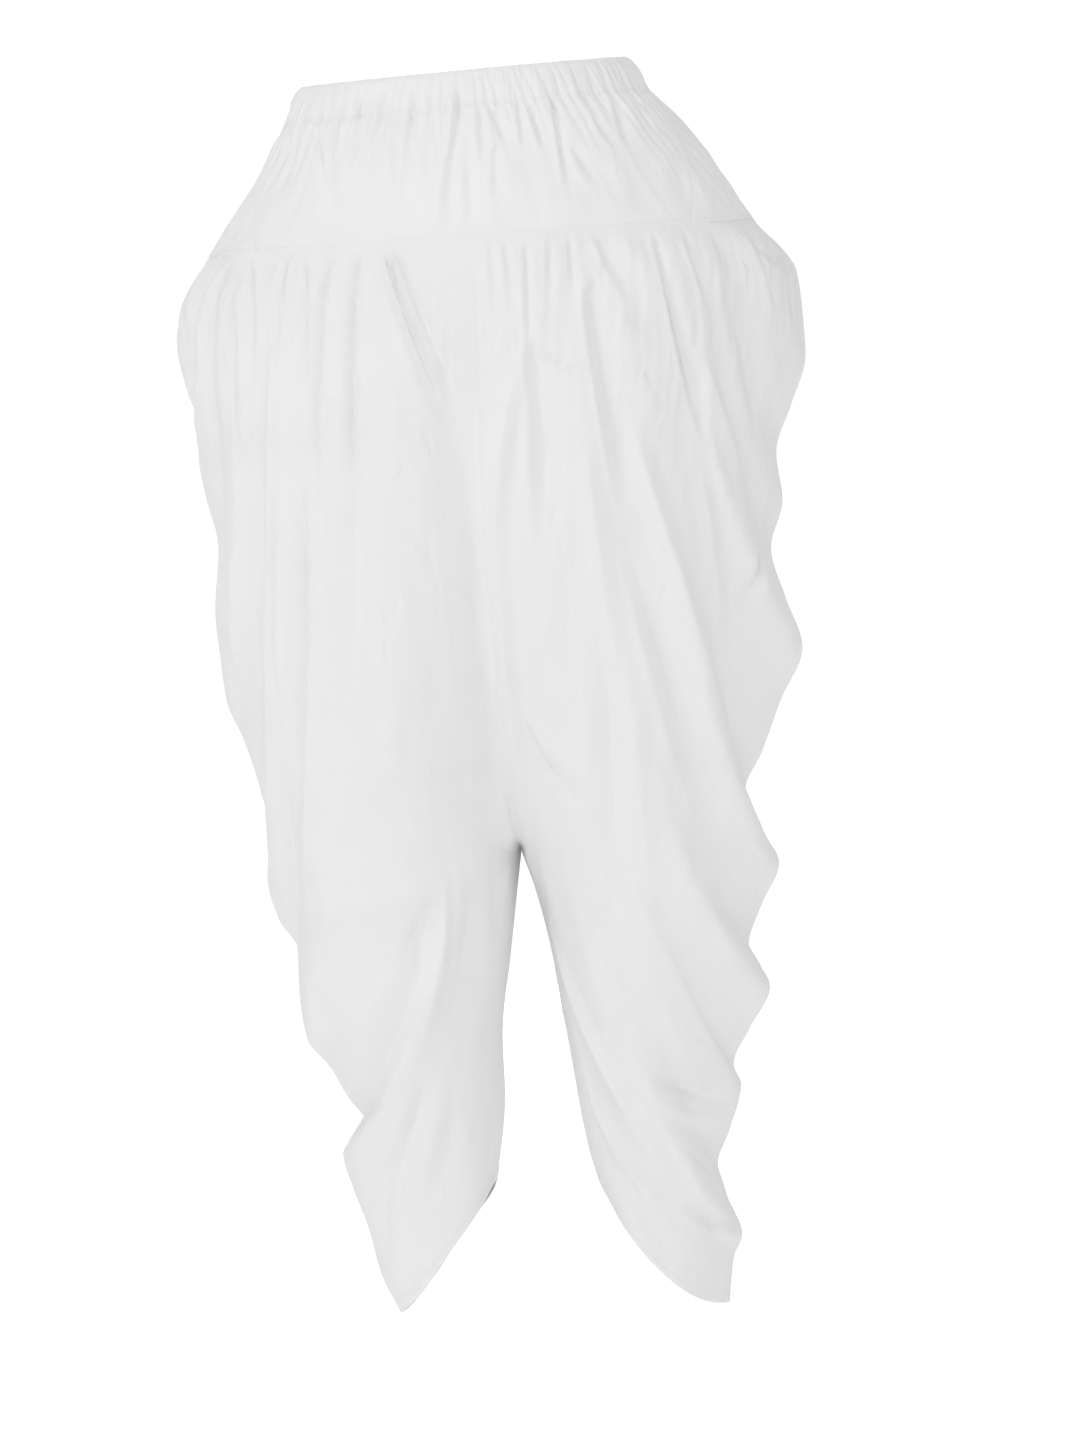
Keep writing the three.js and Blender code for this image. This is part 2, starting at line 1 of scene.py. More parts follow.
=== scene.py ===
"""A dhoti-style salwar in white cotton, worn and hollow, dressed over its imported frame.

Sizes are in millimetres, as the garment was measured, and become metres where a mesh is made. The
front faces -Y, the wearer's left is +X, and the origin is the middle of the waist opening.
"""
import logging
import math
from dataclasses import dataclass
from enum import Enum

import bmesh
import bpy
import numpy as np
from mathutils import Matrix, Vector


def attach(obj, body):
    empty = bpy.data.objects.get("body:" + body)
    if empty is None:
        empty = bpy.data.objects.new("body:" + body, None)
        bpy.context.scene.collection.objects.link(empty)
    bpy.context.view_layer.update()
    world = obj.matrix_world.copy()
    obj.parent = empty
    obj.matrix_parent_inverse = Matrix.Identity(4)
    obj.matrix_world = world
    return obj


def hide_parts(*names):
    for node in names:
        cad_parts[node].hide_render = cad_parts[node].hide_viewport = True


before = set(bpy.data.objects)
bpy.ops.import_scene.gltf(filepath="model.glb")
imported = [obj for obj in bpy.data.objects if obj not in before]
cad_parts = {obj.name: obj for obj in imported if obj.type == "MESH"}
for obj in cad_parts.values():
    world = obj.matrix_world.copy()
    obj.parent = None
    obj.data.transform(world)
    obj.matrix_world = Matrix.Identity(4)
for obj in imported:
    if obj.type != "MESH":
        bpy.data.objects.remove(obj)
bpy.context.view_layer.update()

MM = 0.001
SHARP_EDGE = math.radians(65)
log = logging.getLogger("salwar")

Array = np.ndarray
Rows = tuple[tuple[float, ...], ...]
Colour = tuple[float, float, float]


class Face(Enum):
    """The two faces of a leg. The value tells them apart when a hidden fold is moved."""

    BACK = 0
    FRONT = 1


# Curves, folds and noise


class Curve:
    """A smooth line through a short table that never swings past its rows."""

    def __init__(self, rows: Rows) -> None:
        """Fits the line.

        Args:
            rows: pairs of a key and a value, in any order of the key.
        """
        knots = np.array(sorted(rows), float)
        self.key, self.value = knots[:, 0], knots[:, 1]
        step = np.diff(self.key)
        rise = np.diff(self.value) / step
        slope = np.zeros_like(self.key)
        same = rise[:-1] * rise[1:] > 0
        heavy, light = 2 * step[1:] + step[:-1], step[1:] + 2 * step[:-1]
        with np.errstate(divide="ignore", invalid="ignore"):
            mean = (heavy + light) / (heavy / rise[:-1] + light / rise[1:])
        slope[1:-1] = np.where(same, np.nan_to_num(mean), 0.0)
        slope[0], slope[-1] = rise[0], rise[-1]
        self.step, self.slope = step, slope

    def at(self, key: Array) -> Array:
        """The value at each key, level past the ends."""
        held = np.clip(key, self.key[0], self.key[-1])
        i = np.clip(np.searchsorted(self.key, held) - 1, 0, len(self.step) - 1)
        t = (held - self.key[i]) / self.step[i]
        step = self.step[i]
        start = (1 + 2 * t) * (1 - t) ** 2 * self.value[i] + t * (1 - t) ** 2 * step * self.slope[i]
        end = t**2 * (3 - 2 * t) * self.value[i + 1] + t**2 * (t - 1) * step * self.slope[i + 1]
        return start + end


def smooth(value: Array) -> Array:
    """A soft step from 0 to 1."""
    held = np.clip(value, 0.0, 1.0)
    return held**2 * (3 - 2 * held)


def bell(away: Array, height: object, width: float) -> Array:
    """A rounded ridge or groove: what is left of its height at each distance from its middle, in mm."""
    return height * np.exp(-((away / width) ** 2))


class Ripple:
    """Gentle uneven relief, made of a few crossed waves with a fixed seed."""

    BEND = 0.6
    BEND_PITCH = 0.7
    BEND_PHASE = 1.7

    def __init__(self, seed: int, long: float, short: float, waves: int = 9) -> None:
        """Chooses the waves.

        Args:
            seed: the seed of the draw.
            long: the longest wave, in mm.
            short: the shortest wave, in mm.
            waves: how many are added together.
        """
        draw = np.random.default_rng(seed)
        length = np.exp(draw.uniform(np.log(short), np.log(long), waves))
        turn = draw.uniform(0, 2 * np.pi, waves)
        self.across = 2 * np.pi / length * np.cos(turn)
        self.down = 2 * np.pi / length * np.sin(turn)
        self.phase = draw.uniform(0, 2 * np.pi, waves)
        self.scale = 1 / math.sqrt(waves)

    def at(self, across: Array, down: Array) -> Array:
        """The relief at each place, about -1 to 1."""
        total = np.zeros(np.broadcast(across, down).shape)
        for kx, ky, phase in zip(self.across, self.down, self.phase):
            crossing = self.BEND_PITCH * (ky * across - kx * down)
            bend = self.BEND * np.sin(crossing + self.BEND_PHASE * phase)
            total += np.sin(kx * across + ky * down + phase + bend)
        return total * self.scale


@dataclass(frozen=True)
class Fold:
    """A crease (depth below 0) or ridge (above 0) on the back, seen from behind, in mm.

    It runs from start past bend to end, each an (x, z). width is its half-width. lean makes it softer on
    the side's side (above 0) or the centre's side (below 0), and shoulder is how far the cloth beside it
    moves the other way, as a share of its depth. A sharp fold keeps its full depth at its start.
    """

    start: tuple[float, float]
    bend: tuple[float, float]
    end: tuple[float, float]
    width: float
    depth: float
    lean: float = 0.3
    shoulder: float = 0.25
    sharp: bool = True

    def line(self, steps: int = 22) -> Array:
        """Points along the fold, as (x, z) rows."""
        t = np.linspace(0, 1, steps)[:, None]
        start, bend, end = (np.array(p, float) for p in (self.start, self.bend, self.end))
        return (1 - t) ** 2 * start + 2 * t * (1 - t) * bend + t**2 * end


# What all folds share: how long their ends are, as shares of their length, how wide they start and
# how much wider they get, as shares of their width, and the form across them, in half-widths.
SHARP_START, SOFT_START, FOLD_END = 0.2, 0.35, 0.5
START_WIDTH, WIDENING = 0.7, 0.5
TROUGH_CORE, SHOULDER_PLACE, FOLD_REACH = 0.35, 2.0, 5.0


def near_line(across: Array, down: Array, line: Array) -> tuple[Array, Array]:
    """How far each place lies from a line, and how far along the line that is.

    Args:
        across: places round the cloth, in mm.
        down: heights, in mm.
        line: points of the line, as rows of (across, down).

    Returns:
        The distance in mm, above 0 on the line's outer side, and the share of its length, 0 to 1.
    """
    best = np.full(across.shape, np.inf)
    along = np.zeros(across.shape)
    outer = np.ones(across.shape)
    for k in range(len(line) - 1):
        run = line[k + 1] - line[k]
        size = run @ run + 1e-9
        share = np.clip(((across - line[k, 0]) * run[0] + (down - line[k, 1]) * run[1]) / size, 0, 1)
        away_x = across - line[k, 0] - share * run[0]
        away_z = down - line[k, 1] - share * run[1]
        away = np.hypot(away_x, away_z)
        nearer = away < best
        best = np.where(nearer, away, best)
        along = np.where(nearer, (k + share) / (len(line) - 1), along)
        outer = np.where(nearer, np.sign(run[0] * away_z - run[1] * away_x), outer)
    return best * outer, along


def fold_relief(fold: Fold, across: Array, down: Array, line: Array) -> Array:
    """How far a fold moves the cloth out at each place, in mm."""
    reach = FOLD_REACH * fold.width
    relief = np.zeros(across.shape)
    box = (
        (across > line[:, 0].min() - reach)
        & (across < line[:, 0].max() + reach)
        & (down > line[:, 1].min() - reach)
        & (down < line[:, 1].max() + reach)
    )
    if not box.any():
        return relief
    signed, along = near_line(across[box], down[box], line)
    first = smooth(0.5 + along / SHARP_START) if fold.sharp else smooth(along / SOFT_START)
    ends = first * smooth((1 - along) / FOLD_END)
    width = fold.width * (START_WIDTH + WIDENING * along) * (1 + fold.lean * np.tanh(signed / fold.width))
    away = np.abs(signed) / width
    trough = np.exp(-(away**2) / (TROUGH_CORE + (1 - TROUGH_CORE) * np.minimum(1, away)))
    beside = np.exp(-((away - SHOULDER_PLACE) ** 2))
    relief[box] = fold.depth * ends * (trough - fold.shoulder * beside)
    return relief


# Meshes


def put(name: str, data: bpy.types.ID) -> bpy.types.Object:
    """Puts a mesh, lamp or camera in the scene, at the origin."""
    made = bpy.data.objects.new(name, data)
    bpy.context.scene.collection.objects.link(made)
    return made


def lowest_near(relief: Array, reach: int) -> Array:
    """The lowest value within some cells of each place."""
    rows, columns = relief.shape
    padded = np.pad(relief, reach, mode="edge")
    lowest = relief.copy()
    for j in range(2 * reach + 1):
        for i in range(2 * reach + 1):
            lowest = np.minimum(lowest, padded[j : j + rows, i : i + columns])
    return lowest


@dataclass
class Cloth:
    """A piece of cloth as a grid: rows run down, and columns so that the outside faces out.

    base is the smooth form as (rows, columns, 3) and out the way out of it, both in mm. relief is how
    far folds move the cloth out. cut is each place in the flat cloth, in mm. worked is how strongly
    gathers crush the cloth, 0 to 1. A loop repeats its first column as its last. Rows and columns are
    one more than a multiple of the inner face's step.
    """

    name: str
    base: Array
    out: Array
    relief: Array
    cut: Array
    worked: Array
    loop: bool = False
    thickness: float = 0.9
    step: int = 3

    def outer(self) -> Array:
        """The points of the outer face, in mm."""
        return self.base + self.out * self.relief[..., None]

    def inner(self) -> Array:
        """The points of the inner face, in mm: coarser, and under every fold of the outer face."""
        low = lowest_near(self.relief, self.step - 1) - self.thickness
        return (self.base + self.out * low[..., None])[:: self.step, :: self.step]

    def line(self, row: float, proud: float) -> Array:
        """The outer face's points along a row, lifted by proud, in mm."""
        upper = min(int(row), len(self.relief) - 2)
        lifted = self.outer() + self.out * proud
        return lifted[upper] * (1 - row + upper) + lifted[upper + 1] * (row - upper)

    def build(self, material: bpy.types.Material) -> bpy.types.Object:
        """Makes the piece as a closed thin shell.

        Args:
            material: the cloth's finish.

        Returns:
            The piece, at the origin, with its place in its mesh.
        """
        rows, columns = self.relief.shape
        step = self.step
        coarse_rows, coarse_columns = (rows - 1) // step + 1, (columns - 1) // step + 1
        fine = np.arange(rows * columns).reshape(rows, columns)
        coarse = fine.size + np.arange(coarse_rows * coarse_columns).reshape(coarse_rows, coarse_columns)
        outside = np.stack([fine[:-1, :-1], fine[:-1, 1:], fine[1:, 1:], fine[1:, :-1]], axis=-1)
        inside = np.stack([coarse[:-1, :-1], coarse[1:, :-1], coarse[1:, 1:], coarse[:-1, 1:]], axis=-1)
        faces = outside.reshape(-1, 4).tolist() + inside.reshape(-1, 4).tolist()
        for i in range(coarse_columns - 1):
            run = range(i * step, (i + 1) * step + 1)
            faces.append([coarse[0, i], coarse[0, i + 1]] + [fine[0, k] for k in reversed(run)])
            faces.append([coarse[-1, i + 1], coarse[-1, i]] + [fine[-1, k] for k in run])
        if not self.loop:
            for j in range(coarse_rows - 1):
                run = range(j * step, (j + 1) * step + 1)
                faces.append([coarse[j + 1, 0], coarse[j, 0]] + [fine[k, 0] for k in run])
                faces.append([coarse[j, -1], coarse[j + 1, -1]] + [fine[k, -1] for k in reversed(run)])
        places = np.concatenate([self.outer().reshape(-1, 3), self.inner().reshape(-1, 3)])
        cut = np.concatenate([self.cut.reshape(-1, 2), self.cut[::step, ::step].reshape(-1, 2)])
        worked = np.concatenate([self.worked.ravel(), self.worked[::step, ::step].ravel()])
        mesh = bpy.data.meshes.new(self.name)
        mesh.from_pydata((places * MM).tolist(), [], faces)
        corners = np.empty(len(mesh.loops), np.int32)
        mesh.loops.foreach_get("vertex_index", corners)
        flat = mesh.uv_layers.new(name="Cut")
        flat.data.foreach_set("uv", (cut[corners] * MM).astype(np.float32).ravel())
        worn = mesh.attributes.new("worked", "FLOAT", "POINT")
        worn.data.foreach_set("value", worked.astype(np.float32))
        if self.loop:
            self.join_ends(mesh, fine, coarse)
        mesh.set_sharp_from_angle(angle=SHARP_EDGE)
        mesh.materials.append(material)
        return put(self.name, mesh)

    @staticmethod
    def join_ends(mesh: bpy.types.Mesh, *grids: Array) -> None:
        """Joins the last column of each grid of points to its first."""
        work = bmesh.new()
        work.from_mesh(mesh)
        work.verts.ensure_lookup_table()
        ends = [pair for grid in grids for pair in zip(grid[:, 0], grid[:, -1])]
        pairs = {work.verts[last]: work.verts[first] for first, last in ends}
        bmesh.ops.weld_verts(work, targetmap=pairs)
        work.to_mesh(mesh)
        work.free()


# Finishes


class Graph:
    """A short way to build a node tree."""

    def __init__(self, tree: bpy.types.NodeTree) -> None:
        """Takes the tree to build in."""
        self.tree = tree

    def node(self, kind: str, **settings: object) -> bpy.types.Node:
        """Adds a node and gives it its settings."""
        made = self.tree.nodes.new(kind)
        for key, value in settings.items():
            setattr(made, key, value)
        return made

    def feed(self, socket: bpy.types.NodeSocket, value: object) -> None:
        """Links a socket to an output, or gives it a value."""
        if isinstance(value, bpy.types.NodeSocket):
            self.tree.links.new(value, socket)
        else:
            socket.default_value = value

    def give(self, node: bpy.types.Node, values: dict[str, object]) -> bpy.types.Node:
        """Feeds a node's inputs by their names, and returns the node."""
        for name, value in values.items():
            self.feed(node.inputs[name], value)
        return node

    def maths(self, operation: str, *values: object) -> bpy.types.NodeSocket:
        """Adds a Math node and returns its output."""
        made = self.node("ShaderNodeMath", operation=operation)
        for socket, value in zip(made.inputs, values):
            self.feed(socket, value)
        return made.outputs[0]

    def noise(self, vector: object, scale: float, detail: float, rough: float) -> bpy.types.NodeSocket:
        """Adds a noise texture and returns its value."""
        values = {"Vector": vector, "Scale": scale, "Detail": detail, "Roughness": rough}
        return self.give(self.node("ShaderNodeTexNoise"), values).outputs["Fac"]

    def stretch(self, vector: object, across: float, down: float) -> bpy.types.NodeSocket:
        """Scales a flat coordinate by a different amount each way."""
        values = {"Vector": vector, "Scale": (across, down, 1.0)}
        return self.give(self.node("ShaderNodeMapping"), values).outputs["Vector"]

    def tone(self, share: object, shade: Colour, colour: Colour) -> bpy.types.NodeSocket:
        """Adds a mix from a shade to a colour and returns the result."""
        values = {"Factor": share, "A": (*shade, 1.0), "B": (*colour, 1.0)}
        return self.give(self.node("ShaderNodeMix", data_type="RGBA"), values).outputs["Result"]

    def bump(self, height: object, distance: float, **more: object) -> bpy.types.NodeSocket:
        """Adds a Bump node and returns its normal."""
        values = {"Height": height, "Distance": distance} | more
        return self.give(self.node("ShaderNodeBump"), values).outputs["Normal"]


def group(name: str, inputs: dict[str, tuple[str, float]], outputs: tuple[str, ...]) -> tuple:
    """Starts a shader node group.

    Args:
        name: the group's name.
        inputs: each input's name, with its kind of socket and starting value.
        outputs: the names of its number outputs.

    Returns:
        The tree, a graph to build in, and its input and output nodes.
    """
    tree = bpy.data.node_groups.new(name, "ShaderNodeTree")
    for label, (kind, value) in inputs.items():
        socket = tree.interface.new_socket(label, in_out="INPUT", socket_type=kind)
        if kind == "NodeSocketFloat":
            socket.default_value = value
    for label in outputs:
        tree.interface.new_socket(label, in_out="OUTPUT", socket_type="NodeSocketFloat")
    graph = Graph(tree)
    return tree, graph, graph.node("NodeGroupInput"), graph.node("NodeGroupOutput")


def new_material(name: str) -> tuple[bpy.types.Material, Graph, bpy.types.Node]:
    """Starts a material, and returns it with a graph to build in and its surface node."""
    material = bpy.data.materials.new(name)
    material.use_nodes = True
    return material, Graph(material.node_tree), material.node_tree.nodes["Principled BSDF"]


def plain_weave() -> bpy.types.NodeTree:
    """A group with the over-and-under relief of plain-woven yarn, and its thick and thin places.

    Returns:
        The group. Height is the yarn's relief, and Slub is how thick the yarn is, both 0 to 1.
    """
    slub_across, slub_along = 900.0, 40.0
    inputs = {"Cut": ("NodeSocketVector", 0), "Yarns": ("NodeSocketFloat", 2400.0)}
    tree, g, given, out = group("Plain weave", inputs, ("Height", "Slub"))
    parts = g.node("ShaderNodeSeparateXYZ")
    g.feed(parts.inputs[0], given.outputs["Cut"])
    warp = g.maths("MULTIPLY", parts.outputs["X"], given.outputs["Yarns"])
    weft = g.maths("MULTIPLY", parts.outputs["Y"], given.outputs["Yarns"])
    over = g.maths("MODULO", g.maths("ADD", g.maths("FLOOR", warp), g.maths("FLOOR", weft)), 2.0)
    over = g.maths("ABSOLUTE", over)
    round_warp = g.maths("SINE", g.maths("MULTIPLY", g.maths("FRACT", warp), math.pi))
    round_weft = g.maths("SINE", g.maths("MULTIPLY", g.maths("FRACT", weft), math.pi))
    upper = g.maths("MULTIPLY", round_warp, over)
    lower = g.maths("MULTIPLY", round_weft, g.maths("SUBTRACT", 1.0, over))
    g.feed(out.inputs["Height"], g.maths("ADD", upper, lower))
    along_warp = g.noise(g.stretch(given.outputs["Cut"], slub_across, slub_along), 1.0, 2.0, 0.5)
    along_weft = g.noise(g.stretch(given.outputs["Cut"], slub_along, slub_across), 1.0, 2.0, 0.5)
    g.feed(out.inputs["Slub"], g.maths("MULTIPLY", g.maths("ADD", along_warp, along_weft), 0.5))
    return tree


def crush() -> bpy.types.NodeTree:
    """A group with the small soft creases of worn cotton.

    Returns:
        The group. Height joins the short streaks that gathers leave, where Worked is high, with the
        faint crumple that is everywhere. Both are 0 to 1.
    """
    # Columns: scale across and down, sharpness, share of the height.
    kinds = ((75.0, 16.0, 18.0, 0.6), (34.0, 24.0, 14.0, 0.4))
    patch_from, patch_full = 0.4, 0.68
    everywhere = 0.2
    inputs = {"Cut": ("NodeSocketVector", 0), "Worked": ("NodeSocketFloat", 0.0)}
    tree, g, given, out = group("Small creases", inputs, ("Height",))
    total: object = 0.0
    for across, down, sharpness, share in kinds:
        field = g.noise(g.stretch(given.outputs["Cut"], across, down), 1.0, 2.0, 0.5)
        away = g.maths("ABSOLUTE", g.maths("SUBTRACT", field, 0.5))
        crease = g.maths("MINIMUM", g.maths("MULTIPLY", away, sharpness), 1.0)
        patches = g.noise(g.stretch(given.outputs["Cut"], across / 6, across / 6), 1.0, 1.0, 0.5)
        kept = g.node("ShaderNodeMapRange", interpolation_type="SMOOTHSTEP")
        g.give(kept, {"Value": patches, "From Min": patch_from, "From Max": patch_full})
        total = g.maths("MULTIPLY_ADD", g.maths("MULTIPLY", crease, kept.outputs[0]), share, total)
    strength = g.maths("MULTIPLY_ADD", given.outputs["Worked"], 1 - everywhere, everywhere)
    g.feed(out.inputs["Height"], g.maths("MULTIPLY", total, strength))
    return tree


@dataclass(frozen=True)
class Cotton:
    """The finish of the salwar's cloth: matte white plain-woven cotton."""

    name: str = "white cotton"
    colour: Colour = (0.905, 0.905, 0.91)
    shade: Colour = (0.885, 0.886, 0.893)
    roughness: float = 0.84
    yarn_roughness: float = 0.06
    sheen: float = 0.12
    sheen_roughness: float = 0.5
    specular: float = 0.2
    yarns: float = 2400.0
    weave_height: float = 0.00006
    crease_height: float = 0.0005

    def build(self, weave: bpy.types.NodeTree, creases: bpy.types.NodeTree) -> bpy.types.Material:
        """Makes the material.

        Args:
            weave: the group with the weave's relief.
            creases: the group with the small creases.

        Returns:
            The material, on the piece's Cut coordinates and its worked attribute.
        """
        material, g, surface = new_material(self.name)
        cut = g.node("ShaderNodeUVMap", uv_map="Cut").outputs["UV"]
        worked = g.node("ShaderNodeAttribute", attribute_name="worked").outputs["Fac"]
        yarn = g.give(g.node("ShaderNodeGroup", node_tree=weave), {"Cut": cut, "Yarns": self.yarns})
        small = g.give(g.node("ShaderNodeGroup", node_tree=creases), {"Cut": cut, "Worked": worked})
        large = g.bump(small.outputs["Height"], self.crease_height)
        rough = g.maths("MULTIPLY_ADD", yarn.outputs["Height"], self.yarn_roughness, self.roughness)
        values = {
            "Base Color": g.tone(yarn.outputs["Slub"], self.shade, self.colour),
            "Roughness": rough,
            "Sheen Weight": self.sheen,
            "Sheen Roughness": self.sheen_roughness,
            "Specular IOR Level": self.specular,
            "Normal": g.bump(yarn.outputs["Height"], self.weave_height, Normal=large),
        }
        g.give(surface, values)
        return material


@dataclass(frozen=True)
class Thread:
    """The finish of the sewing thread: white polyester, a little glossier than the cloth."""

    name: str = "white thread"
    colour: Colour = (0.84, 0.84, 0.84)
    shade: Colour = (0.72, 0.72, 0.73)
    roughness: float = 0.55
    twist: float = 2600.0
    twist_height: float = 0.0001

    def build(self) -> bpy.types.Material:
        """Makes the material, with a twist on Object coordinates."""
        material, g, surface = new_material(self.name)
        ply = g.noise(g.node("ShaderNodeTexCoord").outputs["Object"], self.twist, 1.0, 0.5)
        values = {
            "Base Color": g.tone(ply, self.shade, self.colour),
            "Roughness": self.roughness,
            "Normal": g.bump(ply, self.twist_height),
        }
        g.give(surface, values)
        return material


# Casing and yoke


@dataclass(frozen=True)
class Ring:
    """A level line round the casing or yoke, in mm.

    left and right are its sides, middle the centre seam's line, height the z at x = 0, rise the slope
    of z along x, and back and front the half-depths.
    """

    left: float
    right: float
    middle: float
    height: float
    rise: float
    back: float
    front: float

    def towards(self, other: "Ring", share: float) -> "Ring":
        """The ring a share of the way to another one."""
        pairs = zip(self.__dict__.values(), other.__dict__.values())
        return Ring(*(a + (b - a) * share for a, b in pairs))

    def places(self, turn: Array) -> tuple[Array, Array]:
        """Places round the ring.

        Args:
            turn: angles from the centre back towards the left side, in radians.

        Returns:
            The places, and the level way out at each, as rows of x, y, z.
        """
        sideways, backwards = np.sin(turn), np.cos(turn)
        half_width = np.where(sideways > 0, self.left - self.middle, self.middle - self.right)
        half_depth = np.where(backwards > 0, self.back, self.front)
        out_x, out_y = sideways / half_width, backwards / half_depth
        size = np.hypot(out_x, out_y)
        x = self.middle + half_width * sideways
        y = half_depth * backwards
        z = self.height + self.rise * x
        return np.stack([x, y, z], axis=-1), np.stack([out_x / size, out_y / size, 0 * x], axis=-1)


CASING_TOP = Ring(130, -131, 0, 12, -0.093, 98, 96)
CASING_SEAM = Ring(143, -149, -2, -17, -0.1, 109, 104)
YOKE_MIDDLE = Ring(168, -193, -6, -66, -0.085, 133, 115)
YOKE_SEAM = Ring(202, -230, -11, -119, -0.069, 152, 122)


class Ruffles:
    """Small uneven waves round a ring, as elastic draws them up."""

    UNEVEN = 0.45
    LEAST = 0.45
    ROUND_TOP = 0.7

    def __init__(self, count: int, seed: int) -> None:
        """Spaces the waves unevenly.

        Args:
            count: how many waves go all round.
            seed: the seed of the spacing and of each wave's height.
        """
        draw = np.random.default_rng(seed)
        gaps = draw.uniform(1 - self.UNEVEN, 1 + self.UNEVEN, count)
        self.ends = np.concatenate([[0.0], np.cumsum(gaps)]) / gaps.sum() * 2 * np.pi
        self.tall = draw.uniform(self.LEAST, 1.0, count)
        self.start = draw.uniform(0, 2 * np.pi)

    def at(self, turn: Array) -> Array:
        """The waves' relief, from a sharp valley at 0 to a round top at up to 1."""
        held = np.mod(turn + self.start, 2 * np.pi)
        i = np.clip(np.searchsorted(self.ends, held, side="right") - 1, 0, len(self.tall) - 1)
        share = (held - self.ends[i]) / (self.ends[i + 1] - self.ends[i])
        return self.tall[i] * np.sin(np.pi * share) ** self.ROUND_TOP


RUFFLES, SMALL_RUFFLES, LONG_RUFFLES = Ruffles(84, 11), Ruffles(190, 12), Ruffles(19, 13)


@dataclass
class Casing:
    """The elastic casing: a puffed strip whose ruffles run on over its stitched lower edge.

    Sizes are in mm. The names with over, and edge_share, are shares of its height, and top_share is how
    strong the ruffles are at its top.
    """

    columns: int = 901
    rows: int = 34
    ruffle_depth: float = 3.0
    small_depth: float = 1.1
    top_share: float = 0.35
    grown_over: float = 0.75
    lean: float = 0.03
    leans: int = 5
    puff: float = 1.5
    puff_roundness: float = 0.8
    top_turn: float = 1.6
    top_turn_over: float = 0.1
    top_sink: float = 0.8
    edge_share: float = 0.3
    overlap: float = 0.4
    overlap_rise: float = 0.12
    stitch_row: float = 3.2
    worked: float = 0.8
    cut_width: float = 1130.0
    cut_height: float = 32.0

    def cloth(self, below: tuple[tuple[Array, Array], ...]) -> Cloth:
        """Works out the casing's cloth.

        Args:
            below: the turns and the relief of each yoke panel's upper edge, which the casing meets.
        """
        turn = np.linspace(0, 2 * np.pi, self.columns)
        share = np.linspace(0, 1, self.rows)
        rings = [CASING_TOP.towards(CASING_SEAM, s).places(turn) for s in share]
        base, out = (np.stack([ring[k] for ring in rings]) for k in (0, 1))
        angle, level = np.meshgrid(turn, share)
        lean = self.lean * np.sin(self.leans * angle) * (1 - level)
        wave = RUFFLES.at(angle + lean) - 0.5
        small = SMALL_RUFFLES.at(angle - lean) - 0.5
        grown = self.top_share + (1 - self.top_share) * smooth(level / self.grown_over)
        relief = self.puff * np.sin(np.pi * level) ** self.puff_roundness
        relief += self.ruffle_depth * grown * wave + self.small_depth * small
        relief -= self.top_turn * (1 - smooth(level / self.top_turn_over))
        turned = np.concatenate([np.mod(turns, 2 * np.pi) for turns, _ in below])
        order = np.argsort(turned)
        met = np.interp(angle, turned[order], np.concatenate([edge for _, edge in below])[order])
        relief += (met - relief) * smooth((level - self.edge_share) / (1 - self.edge_share))
        base[..., 2] -= self.top_sink * (1 - level) * small
        base[-1, :, 2] -= self.overlap
        relief[-1] += self.overlap_rise
        cut = np.stack(np.meshgrid(turn / (2 * np.pi) * self.cut_width, share * self.cut_height), axis=-1)
        return Cloth("casing_cloth", base, out, relief, cut, np.full(relief.shape, self.worked), loop=True)


# Gathers of the yoke that show from behind, from under the casing to where each fades.
YOKE_GATHERS = (
    Fold((117, -42), (104, -80), (96, -122), 5, -3.2),
    Fold((99, -19), (104, -57), (100, -86), 4, -3.6),
    Fold((63, -19), (72, -57), (90, -95), 6, -4.4),
    Fold((55, -23), (50, -59), (48, -90), 3.5, -3.0),
    Fold((39, -19), (42, -58), (46, -113), 4, -3.8),
    Fold((26, -14), (20, -38), (15, -64), 3.5, -3.2),
    Fold((1, -7), (9, -63), (11, -126), 4.5, -4.6),
    Fold((-4, -42), (-6, -88), (-9, -117), 4, -3.4),
    Fold((-25, -21), (-31, -35), (-36, -48), 3.5, -3.6),
    Fold((-26, -50), (-27, -75), (-27, -97), 3.5, -2.6),
    Fold((-54, -19), (-60, -36), (-67, -53), 3.5, -3.2),
    Fold((-71, -13), (-78, -46), (-87, -97), 3.2, -4.2),
    Fold((-86, -48), (-98, -64), (-113, -82), 6, -3.0),
    Fold((-117, -9), (-126, -30), (-133, -52), 5, -4.2),
    Fold((-136, 0), (-150, -24), (-166, -50), 4.5, -3.8),
    Fold((128, -30), (136, -62), (150, -96), 5, -3.4),
    Fold((136, -40), (150, -70), (168, -104), 5, -3.0),
    Fold((83, -20), (86, -50), (84, -76), 3, -2.6),
    Fold((-14, -20), (-16, -44), (-16, -66), 3, -2.4),
    Fold((-97, -8), (-104, -26), (-112, -44), 3.2, -2.6),
    Fold((-44, -16), (-48, -34), (-50, -60), 3, -2.4),
    Fold((12, -18), (14, -36), (15, -52), 3, -2.2),
    Fold((72, -16), (76, -38), (80, -60), 3, -2.4),
    Fold((112, -26), (114, -48), (112, -70), 3, -2.4),
    Fold((-150, -12), (-164, -40), (-186, -74), 5, -3.2),
)


@dataclass
class SideSeam:
    """A slanted side seam of the yoke, by its turns from the centre back, in degrees."""

    at_casing: float
    at_yoke_seam: float

    def turn(self, share: float, more: float = 0.0) -> float:
        """Its turn at a share of the yoke's height, in radians, with some full turns added."""
        return math.radians(self.at_casing + (self.at_yoke_seam - self.at_casing) * share**2) + more


LEFT_SEAM, RIGHT_SEAM = SideSeam(76, 54), SideSeam(-68, -50)


